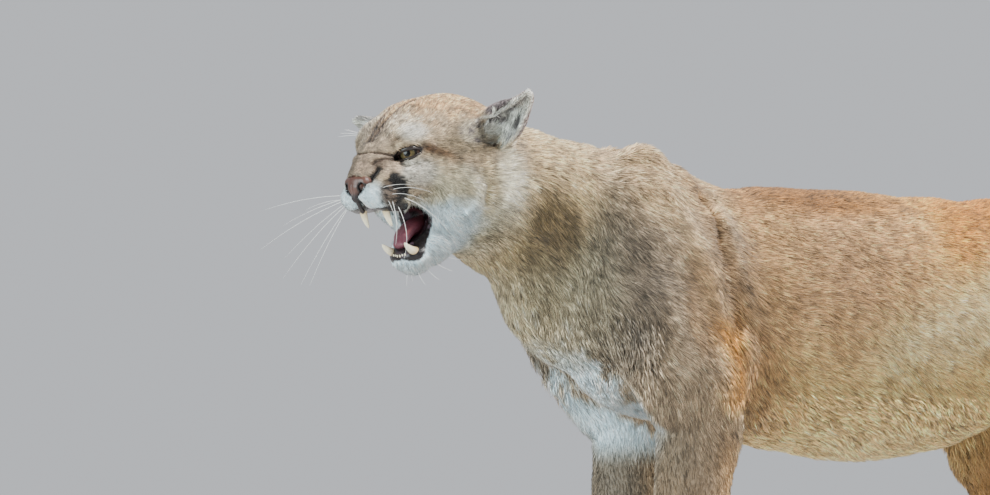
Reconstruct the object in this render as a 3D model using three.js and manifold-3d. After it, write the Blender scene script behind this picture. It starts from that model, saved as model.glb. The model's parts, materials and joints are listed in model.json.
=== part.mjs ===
// A life-size standing cougar, snarling with its ears laid out sideways.
// Millimetres, +Z up. The head points to -X and the animal's left side is -Y. The origin is on the
// ground, below the middle of the body's length and width.
// The animal is described as a field: a signed distance that smooth unions of limbs and lumps make.
// The field is skinned by surface nets, the skin is thinned where it is flat, and the named parts
// are separated from it by thin cuts.

import * as THREE from "three";
import Module from "manifold-3d";

const wasm = await Module();
wasm.setup();

// Driving dimensions
const CUT_GAP = 0.3;
const SHOULDER_LEG_Y = 80;
const HIP_LEG_Y = 84;
const HIND_STRIDE = { left: 57, right: 0 };
const FORE_STRIDE = { left: -16, right: 0 };
const SHOULDER_TOP = { left: [-54, 680], right: [-30, 687] };
const HEAD_AT = [-329, -26, 681];
const HEAD_YAW = 21.6;
const HEAD_ROLL = -1;
const HEAD_PITCH = -4.3;
const JAW_JOINT = [28, 0, -38];
const GAPE = 33;
const EYE = { at: [-48.5, 27, 9], radius: 14.5, splay: 28 };
const EAR = {
  root: [62, 62, 23],
  tip: { left: [45, 126, 71], right: [50, 130, 57] },
  facing: [-0.9, 0.12, -0.38],
  half_width: 21,
};
const UPPER_CANINE = { root: [-84, 15, -38], tip: [-76, 17, -71], radius: 7 };
const LOWER_CANINE = { root: [-87, 14, -24], tip: [-96.5, 16, 4], radius: 6.6 };
const TOOTH_SIDES = 6;
const CLAW = { length: 13, radius: 3.2 };
const TAIL_TIP_RADIUS = 24;
const SIDES = { left: -1, right: 1 };

const rad = THREE.MathUtils.degToRad;
const vec = (p) => new THREE.Vector3(...p);

// Frames of the head, the open jaw, the eyes and the ears
const headFrame = new THREE.Matrix4().compose(
  vec(HEAD_AT),
  new THREE.Quaternion().setFromEuler(
    new THREE.Euler(rad(HEAD_ROLL), rad(HEAD_PITCH), rad(HEAD_YAW), "ZYX"),
  ),
  new THREE.Vector3(1, 1, 1),
);
const jawFrame = headFrame
  .clone()
  .multiply(new THREE.Matrix4().makeTranslation(...JAW_JOINT))
  .multiply(new THREE.Matrix4().makeRotationY(-rad(GAPE)));

// A frame at a point, with X along one direction and Z as near as it can be to another
function frameAlong(origin, xWay, zHint) {
  const x = vec(xWay).normalize();
  const z = vec(zHint).addScaledVector(x, -vec(zHint).dot(x)).normalize();
  const y = new THREE.Vector3().crossVectors(z, x);
  return new THREE.Matrix4().makeBasis(x, y, z).setPosition(vec(origin));
}

// Signed distances. Each form holds a function of x, y, z and a ball round it for skipping it early.

const length3 = (x, y, z) => Math.sqrt(x * x + y * y + z * z);

// The distance to an ellipse or ellipsoid from lengths already divided by its radii
function roundDistance(k0, k1, least) {
  return k1 < 1e-9 ? -least : (k0 * (k0 - 1)) / k1;
}

// An ellipsoid in a frame
function lump(centre, radii, frame = new THREE.Matrix4(), turnY = 0) {
  const own = frame
    .clone()
    .multiply(new THREE.Matrix4().makeTranslation(...centre))
    .multiply(new THREE.Matrix4().makeRotationY(rad(turnY)));
  const m = own.clone().invert().elements;
  const [rx, ry, rz] = radii;
  const at = new THREE.Vector3().setFromMatrixPosition(own);
  return {
    at: [at.x, at.y, at.z],
    reach: Math.max(rx, ry, rz),
    distance(x, y, z) {
      const px = (m[0] * x + m[4] * y + m[8] * z + m[12]) / rx;
      const py = (m[1] * x + m[5] * y + m[9] * z + m[13]) / ry;
      const pz = (m[2] * x + m[6] * y + m[10] * z + m[14]) / rz;
      const k0 = length3(px, py, pz);
      return roundDistance(k0, length3(px / rx, py / ry, pz / rz), Math.min(rx, ry, rz));
    },
  };
}

// A limb of elliptic section through stations [x, y, z, half width, half depth]
function limb(stations, frame = new THREE.Matrix4(), steps = 4) {
  const curve = new THREE.CatmullRomCurve3(stations.map((s) => vec(s)), false, "centripetal");
  const n = (stations.length - 1) * steps;
  const side = new THREE.Vector3(0, 1, 0).transformDirection(frame);
  const rings = [];
  for (let i = 0; i <= n; i++) {
    const t = i / n;
    const k = Math.min(Math.floor(t * (stations.length - 1)), stations.length - 2);
    const f = t * (stations.length - 1) - k;
    const ease = f * f * (3 - 2 * f);
    const p = curve.getPoint(t).applyMatrix4(frame);
    const wide = THREE.MathUtils.lerp(stations[k][3], stations[k + 1][3], ease);
    const deep = THREE.MathUtils.lerp(stations[k][4], stations[k + 1][4], ease);
    rings.push([p.x, p.y, p.z, wide, deep]);
  }
  const box = new THREE.Box3().setFromPoints(rings.map((r) => vec(r)));
  const centre = box.getCenter(new THREE.Vector3());
  const reach =
    Math.max(...rings.map((r) => vec(r).distanceTo(centre) + Math.max(r[3], r[4])));
  return {
    at: [centre.x, centre.y, centre.z],
    reach,
    distance(x, y, z) {
      let best = Infinity;
      for (let i = 0; i < n; i++) {
        const a = rings[i];
        const b = rings[i + 1];
        const ex = b[0] - a[0];
        const ey = b[1] - a[1];
        const ez = b[2] - a[2];
        const along = (x - a[0]) * ex + (y - a[1]) * ey + (z - a[2]) * ez;
        const t = Math.min(1, Math.max(0, along / (ex * ex + ey * ey + ez * ez)));
        const ox = x - a[0] - t * ex;
        const oy = y - a[1] - t * ey;
        const oz = z - a[2] - t * ez;
        const wide = a[3] + t * (b[3] - a[3]);
        const deep = a[4] + t * (b[4] - a[4]);
        const s = ox * side.x + oy * side.y + oz * side.z;
        const rest = Math.sqrt(Math.max(0, ox * ox + oy * oy + oz * oz - s * s));
        const k0 = length3(s / wide, rest / deep, 0);
        const k1 = length3(s / wide / wide, rest / deep / deep, 0);
        best = Math.min(best, roundDistance(k0, k1, Math.min(wide, deep)));
      }
      return best;
    },
  };
}

// A field joins forms one after another, each blended in or carved out over its own width
class Field {
  constructor() {
    this.steps = [];
  }
  add(form, blend) {
    this.steps.push({ form, blend, carve: false });
    return this;
  }
  carve(form, blend) {
    this.steps.push({ form, blend, carve: true });
    return this;
  }
  distance(x, y, z) {
    let d = 1e3;
    for (const { form, blend, carve } of this.steps) {
      const [cx, cy, cz] = form.at;
      const away = length3(x - cx, y - cy, z - cz) - form.reach;
      if (away > blend + (carve ? Math.max(0, -d) : Math.max(0, d))) continue;
      const e = form.distance(x, y, z);
      const overlap = Math.max(0, blend - Math.abs(carve ? d + e : d - e)) / blend;
      const smooth = (overlap * overlap * blend) / 4;
      d = carve ? Math.max(d, -e) + smooth : Math.min(d, e) - smooth;
    }
    return d;
  }
}

// The trunk, from the breast to the rump, as stations [x, y, z, half width, half depth]
const TRUNK = [
  [-42, 0, 524, 84, 96],
  [0, 0, 526, 100, 126],
  [70, 0, 528, 112, 141],
  [160, 0, 523, 122, 154],
  [260, 0, 517, 125, 160],
  [350, 0, 521, 120, 152],
  [440, 0, 543, 108, 129],
  [540, 0, 566, 98, 112],
  [630, 0, 580, 84, 94],
  [690, 0, 588, 60, 64],
];
const NECK = [
  [-40, 0, 594, 82, 110],
  [-105, 0, 609, 82, 105],
  [-180, -2, 638, 79, 90],
  [-240, -6, 658, 75, 82],
  [-290, -14, 674, 64, 68],
];
const TAIL = [
  [690, 0, 628, 34, 34],
  [750, 0, 592, 32, 33],
  [800, 0, 520, 28, 29],
  [832, 0, 430, 26, 27],
  [850, 0, 335, 25, 25],
  [866, 0, 245, 24, 24],
  [900, 0, 172, 24, 24],
  [960, 0, 134, 24, 24],
  [1022, 0, 150, TAIL_TIP_RADIUS, TAIL_TIP_RADIUS],
];

// One foreleg from the top of the shoulder blade to the toes, as stations on side s, with the
// lower leg moved by its stride
function foreleg(s, dx, top) {
  const y = SHOULDER_LEG_Y;
  return [
    [top[0], s * 54, top[1], 24, 34],
    [-60, s * 80, 600, 34, 66],
    [-69, s * 90, 515, 40, 61],
    [-11 + dx * 0.5, s * 92, 450, 45, 67],
    [18 + dx, s * 86, 398, 42, 55],
    [12 + dx, s * 82, 330, 41, 47],
    [4 + dx, s * y, 240, 34, 38],
    [-4 + dx, s * y, 150, 30, 31],
    [-14 + dx, s * y, 90, 32, 28],
    [-28 + dx, s * y, 50, 36, 28],
  ];
}

// One hindleg from the hip to the toes, moved by its stride
function hindleg(s, dx) {
  const y = HIP_LEG_Y;
  return [
    [620, s * 62, 596, 46, 76],
    [580 + dx * 0.2, s * 84, 500, 56, 100],
    [530 + dx * 0.5, s * 96, 402, 46, 62],
    [580 + dx * 0.7, s * 91, 312, 36, 44],
    [642 + dx, s * 87, 246, 26, 30],
    [674 + dx, s * y, 204, 24, 29],
    [668 + dx, s * y, 130, 22, 24],
    [654 + dx, s * y, 72, 27, 25],
    [634 + dx, s * y, 44, 33, 26],
  ];
}

// Four toes in an arc before a paw, with their pads on the ground
function addPaw(field, x, y, size) {
  field.add(lump([x - 8, y, 26], [46 * size, 40 * size, 26]), 16);
  for (let toe = 0; toe < 4; toe++) {
    const [tx, ty, tz] = toeTip(x, y, size, toe);
    field.add(lump([tx + 24 * size, ty, tz], [24 * size, 12.5 * size, 20]), 6);
  }
  field.add(lump([x + 6, y, 12], [24 * size, 26 * size, 16]), 8);
}

function toeTip(x, y, size, toe) {
  const ahead = 66 - 5.5 * (toe - 1.5) ** 2;
  return [x - ahead * size, y + (toe - 1.5) * 21 * size, 16.5];
}

function bodyField() {
  const field = new Field();
  field.add(limb(TRUNK), 1);
  field.add(limb(NECK), 60);
  field.add(lump([-163, 4, 545], [38, 44, 58]), 34);
  for (const [name, s] of Object.entries(SIDES)) {
    const stride = HIND_STRIDE[name];
    field.add(limb(foreleg(s, FORE_STRIDE[name], SHOULDER_TOP[name])), 34);
    field.add(lump([2, s * 84, 552], [52, 34, 88], undefined, 12), 30);
    field.add(lump([-12, s * 54, 646], [30, 26, 44]), 18);
    field.add(lump([-117, s * 38, 533], [40, 44, 60]), 40);
    field.add(limb(hindleg(s, stride)), 34);
    field.add(lump([655 + stride * 0.2, s * 66, 520], [62, 42, 92], undefined, -12), 34);
    field.add(
      limb([
        [694, s * 74, 536, 34, 40],
        [668 + stride * 0.3, s * 84, 440, 34, 44],
        [616 + stride * 0.6, s * 88, 352, 28, 36],
        [650 + stride * 0.9, s * 86, 284, 16, 22],
        [692 + stride, s * HIP_LEG_Y, 222, 13, 15],
      ]),
      26,
    );
    addPaw(field, -34 + FORE_STRIDE[name], s * SHOULDER_LEG_Y, 1);
    addPaw(field, 626 + stride, s * HIP_LEG_Y, 0.9);
  }
  field.add(limb(TAIL), 26);
  return field;
}

// The ear as a cup: a flattened ellipsoid and a narrower one for its tip, hollowed from the side
// that it faces
function addEar(field, name) {
  const frame = earFrame(name);
  const long = earLength(name);
  field.add(lump([long * 0.3, 0, 0], [long * 0.46, EAR.half_width, 16], frame), 12);
  field.add(lump([long * 0.62, -3, 0], [long * 0.4, EAR.half_width * 0.58, 9], frame), 10);
  field.carve(lump([long * 0.34, 0, 10], [long * 0.4, EAR.half_width - 6, 15], frame), 3);
  field.carve(lump([long * 0.62, -3, 8], [long * 0.33, EAR.half_width * 0.4, 9], frame), 3);
}
function earFrame(name) {
  const s = SIDES[name];
  const root = [EAR.root[0], s * EAR.root[1], EAR.root[2]];
  const tip = EAR.tip[name];
  const way = [tip[0] - root[0], s * tip[1] - root[1], tip[2] - root[2]];
  const facing = [EAR.facing[0], s * EAR.facing[1], EAR.facing[2]];
  return headFrame.clone().multiply(frameAlong(root, way, facing));
}
const earLength = (name) => vec(EAR.tip[name]).distanceTo(vec(EAR.root));

const eyeAt = (s) => [EYE.at[0], s * EYE.at[1], EYE.at[2]];
const eyeGaze = (s) => [-Math.cos(rad(EYE.splay)), s * Math.sin(rad(EYE.splay)), 0.02];

// The head: skull, cheeks, muzzle and jaw, with the mouth carved between them
function addHead(field) {
  const h = headFrame;
  const j = jawFrame;
  const bridge = [
    [-108, 0, -25, 15, 14],
    [-97, 0, -11, 17, 17],
    [-78, 0, 4, 21, 21],
    [-48, 0, 18, 27, 29],
  ];
  const mandible = [
    [-4, 0, -20, 46, 38],
    [-48, 0, -27, 37, 27],
    [-80, 0, -24, 27, 17],
    [-90, 0, -20, 19, 11],
  ];
  field.add(lump([27, 0, 14], [66, 55, 56], h), 50);
  field.add(lump([-20, 0, 14], [51, 45, 52], h), 26);
  field.add(lump([56, 0, 28], [42, 48, 42], h), 24);
  field.add(limb(bridge, h), 14);
  for (const s of [-1, 1]) {
    const brow = [
      [-72, s * 13, 14, 9, 8],
      [-60, s * 25, 21, 11, 9],
      [-40, s * 38, 22, 9, 7],
    ];
    field.add(lump([16, s * 43, -26], [46, 28, 42], h, -10), 24);
    field.add(lump([-48, s * 29, -20], [32, 18, 20], h, -20), 16);
    field.add(limb(brow, h), 14);
    field.add(lump([-46, s * 22, 30], [25, 17, 18], h), 12);
    field.add(lump([-80, s * 17, -20], [24, 15, 18], h, -30), 10);
    field.add(lump([-93, s * 14.5, -37], [23, 16, 15], h, 6), 6);
    field.add(lump([-76, s * 22, -41], [27, 13, 15], h, 10), 8);
  }
  field.add(lump([-109, 0, -25], [10, 16, 12], h), 5);
  field.add(limb(mandible, j), 20);
  field.add(lump([-78, 0, -34], [15, 17, 14], j), 8);
  for (const { form, blend } of mouth()) field.carve(form, blend);
  for (const [name, s] of Object.entries(SIDES)) {
    field.add(lump(eyeAt(s), [EYE.radius + 3.4, EYE.radius + 3.4, EYE.radius + 3.4], h), 6);
    const look = headFrame.clone().multiply(frameAlong(eyeAt(s), eyeGaze(s), [0, -s * 0.36, 1]));
    field.carve(lump([EYE.radius + 2, 0, 0], [13, 16, 5.6], look), 1.6);
    field.carve(lump([-118, s * 8.5, -27], [6, 3.6, 4], h), 2);
    const earBase = [
      [64, s * 45, 46, 10, 10],
      [54, s * 68, 52, 9, 9],
      [45, s * 88, 56, 6, 6],
    ];
    field.add(limb(earBase, h), 8);
    addEar(field, name);
  }
}

// The gape between the jaws, open to both sides, and the hollow of the throat behind its corners
function mouth() {
  const mid = headFrame
    .clone()
    .multiply(new THREE.Matrix4().makeTranslation(...JAW_JOINT))
    .multiply(new THREE.Matrix4().makeRotationY(-rad(GAPE / 2)));
  return [
    { form: lump([-112, 0, -11], [50, 48, 29], mid), blend: 5 },
    { form: lump([-78, 0, -10], [46, 25, 21], mid), blend: 6 },
  ];
}

function wholeField() {
  const field = bodyField();
  addHead(field);
  return field;
}

// Surface nets: one vertex in each grid cell that the surface crosses, moved onto the surface
function skin(field, low, high, cell) {
  const size = [0, 1, 2].map((i) => Math.ceil((high[i] - low[i]) / cell) + 1);
  const [nx, ny, nz] = size;
  const index = (i, j, k) => (k * ny + j) * nx + i;
  const values = new Float64Array(nx * ny * nz);
  const edge = (v, n) => v === 0 || v === n - 1;
  for (let k = 0; k < nz; k++)
    for (let j = 0; j < ny; j++) {
      let i = 0;
      while (i < nx) {
        const d = field.distance(low[0] + i * cell, low[1] + j * cell, low[2] + k * cell);
        const same = Math.min(nx, i + 1 + Math.floor((0.5 * Math.abs(d)) / cell));
        for (; i < same; i++) {
          const rim = edge(i, nx) || edge(j, ny) || edge(k, nz);
          values[index(i, j, k)] = rim ? Math.max(d, 0.5 * cell) : d;
        }
      }
    }
  fillDiagonals(values, size);
  const ids = new Int32Array(nx * ny * nz).fill(-1);
  const points = [];
  for (let k = 0; k < nz - 1; k++)
    for (let j = 0; j < ny - 1; j++)
      for (let i = 0; i < nx - 1; i++) {
        const sum = [0, 0, 0];
        let count = 0;
        for (let e = 0; e < 12; e++) {
          const axis = e >> 2;
          const a = [0, 0, 0];
          a[(axis + 1) % 3] = e & 1;
          a[(axis + 2) % 3] = (e >> 1) & 1;
          const b = [...a];
          b[axis] = 1;
          const va = values[index(i + a[0], j + a[1], k + a[2])];
          const vb = values[index(i + b[0], j + b[1], k + b[2])];
          if (va < 0 === vb < 0) continue;
          const t = va / (va - vb);
          for (let c = 0; c < 3; c++) sum[c] += a[c] + t * (b[c] - a[c]);
          count++;
        }
        if (!count) continue;
        ids[index(i, j, k)] = points.length;
        const cellAt = [i, j, k];
        points.push(sum.map((v, c) => low[c] + (cellAt[c] + v / count) * cell));
      }
  const faces = [];
  for (let k = 0; k < nz - 1; k++)
    for (let j = 0; j < ny - 1; j++)
      for (let i = 0; i < nx - 1; i++) {
        const inside = values[index(i, j, k)] < 0;
        for (let axis = 0; axis < 3; axis++) {
          const o = [i, j, k];
          const n = [...o];
          n[axis]++;
          if (inside === values[index(...n)] < 0) continue;
          const u = (axis + 1) % 3;
          const w = (axis + 2) % 3;
          if (!o[u] || !o[w]) continue;
          const ring = [[0, 0], [1, 0], [1, 1], [0, 1]].map(([p, q]) => {
            const c = [...o];
            c[u] -= p;
            c[w] -= q;
            return ids[index(...c)];
          });
          if (!inside) ring.reverse();
          faces.push([ring[0], ring[1], ring[2]], [ring[0], ring[2], ring[3]]);
        }
      }
  settle(field, points, cell);
  return { points, faces };
}

// Fills grid points until no square of four has its two inside points on a diagonal only, which
// would join more than two faces at an edge
function fillDiagonals(values, [nx, ny, nz]) {
  const strides = [1, nx, nx * ny];
  for (let changed = true; changed; ) {
    changed = false;
    for (let k = 0; k < nz - 1; k++)
      for (let j = 0; j < ny - 1; j++)
        for (let i = 0; i < nx - 1; i++) {
          const o = (k * ny + j) * nx + i;
          for (let axis = 0; axis < 3; axis++) {
            const u = strides[(axis + 1) % 3];
            const w = strides[(axis + 2) % 3];
            const a = values[o] < 0;
            const b = values[o + u] < 0;
            if (a === b || a !== values[o + u + w] < 0 || b !== values[o + w] < 0) continue;
            const gap = a ? o + u : o;
            values[gap] = -1e-3;
            changed = true;
          }
        }
  }
}

// Moves each vertex along the field's slope onto the surface, by at most half a cell
function settle(field, points, cell) {
  const h = 0.5;
  for (const p of points)
    for (let round = 0; round < 2; round++) {
      const d = field.distance(...p);
      const slope = [0, 1, 2].map((c) => {
        const q = [...p];
        q[c] += h;
        return (field.distance(...q) - d) / h;
      });
      const steep = slope[0] ** 2 + slope[1] ** 2 + slope[2] ** 2;
      if (steep < 0.04) continue;
      const move = THREE.MathUtils.clamp(d / steep, -cell / 4, cell / 4);
      for (let c = 0; c < 3; c++) p[c] -= move * slope[c];
    }
}

// Thins a closed mesh by edge collapses that keep close to the planes of its faces
function thin({ points, faces }, target) {
  const quadrics = points.map(() => new Float64Array(10));
  const around = points.map(() => new Set());
  const normalOf = ([a, b, c], at = points) => {
    const [p, q, r] = [at[a], at[b], at[c]];
    const u = [q[0] - p[0], q[1] - p[1], q[2] - p[2]];
    const v = [r[0] - p[0], r[1] - p[1], r[2] - p[2]];
    return [u[1] * v[2] - u[2] * v[1], u[2] * v[0] - u[0] * v[2], u[0] * v[1] - u[1] * v[0]];
  };
  faces.forEach((f, i) => {
    const n = normalOf(f);
    const area = Math.hypot(...n) || 1e-12;
    const [x, y, z] = n.map((v) => v / area);
    const w = -(x * points[f[0]][0] + y * points[f[0]][1] + z * points[f[0]][2]);
    const q = [x * x, x * y, x * z, x * w, y * y, y * z, y * w, z * z, z * w, w * w];
    for (const v of f) {
      around[v].add(i);
      for (let m = 0; m < 10; m++) quadrics[v][m] += q[m] * area;
    }
  });
  const errorAt = (q, [x, y, z]) =>
    q[0] * x * x + 2 * q[1] * x * y + 2 * q[2] * x * z + 2 * q[3] * x + q[4] * y * y +
    2 * q[5] * y * z + 2 * q[6] * y + q[7] * z * z + 2 * q[8] * z + q[9];
  const bestPoint = (q, a, b) => {
    const mid = a.map((v, c) => (v + b[c]) / 2);
    const m = new THREE.Matrix3().set(q[0], q[1], q[2], q[1], q[4], q[5], q[2], q[5], q[7]);
    const size = q[0] + q[4] + q[7];
    if (Math.abs(m.determinant()) < 1e-4 * size ** 3) return mid;
    const p = new THREE.Vector3(-q[3], -q[6], -q[8]).applyMatrix3(m.invert()).toArray();
    const near = Math.hypot(p[0] - mid[0], p[1] - mid[1], p[2] - mid[2]);
    return near > Math.hypot(a[0] - b[0], a[1] - b[1], a[2] - b[2]) ? mid : p;
  };
  const heap = [];
  const push = (item) => {
    heap.push(item);
    let i = heap.length - 1;
    while (i > 0 && heap[(i - 1) >> 1].cost > heap[i].cost) {
      [heap[(i - 1) >> 1], heap[i]] = [heap[i], heap[(i - 1) >> 1]];
      i = (i - 1) >> 1;
    }
  };
  const pop = () => {
    const top = heap[0];
    const last = heap.pop();
    if (heap.length) heap[0] = last;
    for (let i = 0; ; ) {
      let least = i;
      for (const c of [2 * i + 1, 2 * i + 2])
        if (c < heap.length && heap[c].cost < heap[least].cost) least = c;
      if (least === i) return top;
      [heap[i], heap[least]] = [heap[least], heap[i]];
      i = least;
    }
  };
  const stamp = new Int32Array(points.length);
  const neighbours = (v) => {
    const out = new Set();
    for (const f of around[v]) for (const w of faces[f]) if (w !== v) out.add(w);
    return out;
  };
  const queue = (a, b) => {
    const q = quadrics[a].map((v, m) => v + quadrics[b][m]);
    const p = bestPoint(q, points[a], points[b]);
    const gap = points[a].reduce((sum, v, c) => sum + (v - points[b][c]) ** 2, 0);
    const cost = Math.abs(errorAt(q, p)) + 1e-4 * gap;
    push({ a, b, p, cost, stamps: stamp[a] + stamp[b] });
  };
  faces.forEach((f) => {
    for (let e = 0; e < 3; e++) if (f[e] < f[(e + 1) % 3]) queue(f[e], f[(e + 1) % 3]);
  });
  const alive = faces.map(() => true);
  let count = faces.length;
  while (count > target && heap.length) {
    const { a, b, p, stamps } = pop();
    if (stamps !== stamp[a] + stamp[b] || !around[a].size || !around[b].size) continue;
    const ofA = neighbours(a);
    const ofB = neighbours(b);
    if (!ofA.has(b)) continue;
    if ([...ofA].filter((v) => ofB.has(v)).length !== 2) continue;
    const turned = [...around[a], ...around[b]].some((f) => {
      if (faces[f].includes(a) && faces[f].includes(b)) return false;
      const before = normalOf(faces[f]);
      const moved = faces[f].map((v) => (v === a || v === b ? p : points[v]));
      const after = normalOf([0, 1, 2], moved);
      const lengths = Math.hypot(...before) * Math.hypot(...after);
      const along = before[0] * after[0] + before[1] * after[1] + before[2] * after[2];
      return along < 0.4 * lengths || lengths < 1e-6;
    });
    if (turned) continue;
    points[a] = p;
    quadrics[a] = quadrics[a].map((v, m) => v + quadrics[b][m]);
    for (const f of around[b]) {
      if (faces[f].includes(a)) {
        alive[f] = false;
        count--;
        for (const v of faces[f]) if (v !== b) around[v].delete(f);
      } else {
        faces[f] = faces[f].map((v) => (v === b ? a : v));
        around[a].add(f);
      }
    }
    around[b] = new Set();
    stamp[b] += 1e6;
    stamp[a] += 1;
    for (const v of neighbours(a)) queue(Math.min(a, v), Math.max(a, v));
  }
  return { points, faces: faces.filter((f, i) => alive[i]) };
}

// A closed mesh as a solid that can be joined and cut, and back
function toSolid({ points, faces }) {
  const mesh = new wasm.Mesh({
    numProp: 3,
    vertProperties: new Float32Array(points.flat()),
    triVerts: new Uint32Array(faces.flat()),
  });
  mesh.merge();
  return largest(new wasm.Manifold(mesh));
}
function largest(solid) {
  const bodies = solid.decompose();
  return bodies.sort((a, b) => b.volume() - a.volume())[0];
}
function geometryToSolid(geometry, matrix = new THREE.Matrix4()) {
  const plain = geometry.index ? geometry.toNonIndexed() : geometry;
  const at = plain.getAttribute("position");
  const ids = new Map();
  const points = [];
  const corner = [];
  for (let i = 0; i < at.count; i++) {
    const p = new THREE.Vector3().fromBufferAttribute(at, i).applyMatrix4(matrix);
    const key = p.toArray().map((v) => Math.round(v * 1e3)).join();
    if (!ids.has(key)) ids.set(key, points.push(p.toArray()) - 1);
    corner.push(ids.get(key));
  }
  const faces = [];
  for (let i = 0; i < corner.length; i += 3) {
    const f = corner.slice(i, i + 3);
    if (new Set(f).size === 3) faces.push(f);
  }
  return toSolid({ points, faces });
}

// A box between two corners in a frame, grown by a margin
function boxRegion(low, high, frame = new THREE.Matrix4(), grow = 0) {
  const size = low.map((v, i) => high[i] - v + 2 * grow);
  const middle = low.map((v, i) => (v + high[i]) / 2);
  const place = frame.clone().multiply(new THREE.Matrix4().makeTranslation(...middle));
  return geometryToSolid(new THREE.BoxGeometry(...size), place);
}

// Takes the part of a solid inside a region, and leaves the rest with a thin gap round it
function partOff(whole, region) {
  return {
    part: largest(whole.intersect(region(-CUT_GAP / 2))),
    rest: largest(whole.subtract(region(CUT_GAP / 2))),
  };
}

// A piece cut back so that it stays about the gap away from its neighbour
function clearOf(piece, neighbour) {
  let left = piece;
  for (const axis of [0, 1, 2])
    for (const way of [-1, 1]) {
      const move = [0, 0, 0];
      move[axis] = way * CUT_GAP;
      left = left.subtract(neighbour.translate(move));
    }
  return largest(left);
}

// A blunt bent cone from its root to its tip
function spike(root, tip, radius, frame = new THREE.Matrix4(), bend = 0) {
  const way = vec(tip).sub(vec(root));
  const long = way.length();
  const cone = new THREE.CylinderGeometry(radius * 0.2, radius, long, TOOTH_SIDES, 3);
  const at = cone.getAttribute("position");
  for (let i = 0; i < at.count; i++) {
    const t = THREE.MathUtils.clamp(at.getY(i) / long + 0.5, 0, 1);
    const fuller = (1 - 0.8 * t ** 1.7) / (1 - 0.8 * t);
    at.setX(i, at.getX(i) * fuller + bend * 4 * t * (1 - t));
    at.setZ(i, at.getZ(i) * fuller);
  }
  const y = way.clone().normalize();
  const x = vec([1, 0, 0]).addScaledVector(y, -y.x).normalize();
  const basis = new THREE.Matrix4().makeBasis(x, y, new THREE.Vector3().crossVectors(x, y));
  basis.setPosition(vec(root).addScaledVector(way, 0.5));
  return geometryToSolid(cone, frame.clone().multiply(basis));
}
function fuse(solid, pieces) {
  return largest(pieces.reduce((sum, piece) => sum.add(piece), solid));
}

// The teeth of both sides of a jaw: a canine, small teeth between the canines, and cheek teeth
function teeth(canine, frame, incisorAt, cheekTeeth, down) {
  const pieces = [];
  for (const s of [-1, 1]) {
    const [rx, ry, rz] = canine.root;
    const [tx, ty, tz] = canine.tip;
    pieces.push(spike([rx, s * ry, rz], [tx, s * ty, tz], canine.radius, frame, -2));
    for (let i = 0; i < 3; i++) {
      const y = s * (2.2 + i * 3.9);
      const x = incisorAt[0] + i * i * 0.9;
      const long = i === 2 ? 1.25 : 1;
      const root = [x, y, incisorAt[1] - down * 9];
      pieces.push(spike(root, [x - 0.5, y, incisorAt[1] + down * 4 * long], 2.6, frame));
    }
    for (const [x, y, z, high, radius] of cheekTeeth)
      pieces.push(spike([x, s * y, z - down * 9], [x, s * y, z + down * high], radius, frame));
  }
  return pieces;
}

const nodes = new Map();

// The skins of the body, of the head and of the paws, which overlap where they are cut
const whole = wholeField();
const bodyMesh = thin(skin(whole, [-300, -160, 40], [1060, 160, 760], 11), 4400);
const headMesh = thin(skin(whole, [-480, -180, 520], [-180, 130, 820], 4.2), 4400);
let body = toSolid(bodyMesh);
let head = toSolid(headMesh);

// The head ends behind the ears, and the neck at the shoulders
const nape = frameAlong([-250, -7, 664], [-0.95, -0.12, 0.26], [0, 0, 1]);
head = partOff(head, (grow) => boxRegion([0, -300, -300], [400, 300, 300], nape, grow)).part;
body = partOff(body, (grow) => boxRegion([0, -300, -300], [400, 300, 300], nape, grow)).rest;
const collar = frameAlong([-96, 0, 606], [-0.83, 0, 0.56], [0, 0, 1]);
const atCollar = partOff(body, (grow) => boxRegion([0, -300, -300], [600, 300, 300], collar, grow));
nodes.set("neck", atCollar.part);
body = atCollar.rest;

// The lower jaw parts from the head along a line behind the corners of the mouth
const atJaw = partOff(head, (grow) => boxRegion([-200, -90, -95], [-60, 90, 12], jawFrame, grow));
head = atJaw.rest;
let jaw = atJaw.part;

// The nose pad sits in a rounded socket
const noseBall = (grow) =>
  geometryToSolid(
    new THREE.SphereGeometry(1, 14, 8),
    headFrame
      .clone()
      .multiply(new THREE.Matrix4().makeTranslation(-117, 0, -24.5))
      .multiply(new THREE.Matrix4().makeScale(10 + grow, 15 + grow, 12.5 + grow)),
  );
const atNose = partOff(head, noseBall);
head = atNose.rest;
nodes.set("nose", atNose.part);

for (const [name, s] of Object.entries(SIDES)) {
  const frame = earFrame(name);
  const atEar = partOff(head, (grow) => boxRegion([20, -32, -24], [120, 32, 28], frame, grow));
  head = atEar.rest;
  nodes.set(`ear_${name}`, atEar.part);
  const ball = (radius) => {
    const at = vec(eyeAt(s)).applyMatrix4(headFrame);
    const place = new THREE.Matrix4().makeTranslation(at.x, at.y, at.z);
    return geometryToSolid(new THREE.SphereGeometry(radius, 16, 10), place);
  };
  head = largest(head.subtract(ball(EYE.radius + CUT_GAP)));
  nodes.set(`eye_${name}`, ball(EYE.radius));
}

const UPPER_CHEEK_TEETH = [
  [-64, 24, -49, 6, 4],
  [-52, 28, -47, 9, 6],
  [-43, 30, -46, 6, 5],
];
const LOWER_CHEEK_TEETH = [
  [-80, 18, -12, 6, 4.4],
  [-70, 21, -9, 7, 5],
];
head = fuse(head, teeth(UPPER_CANINE, headFrame, [-98, -52], UPPER_CHEEK_TEETH, -1));
jaw = fuse(jaw, teeth(LOWER_CANINE, jawFrame, [-103, -10], LOWER_CHEEK_TEETH, 1));

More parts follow.
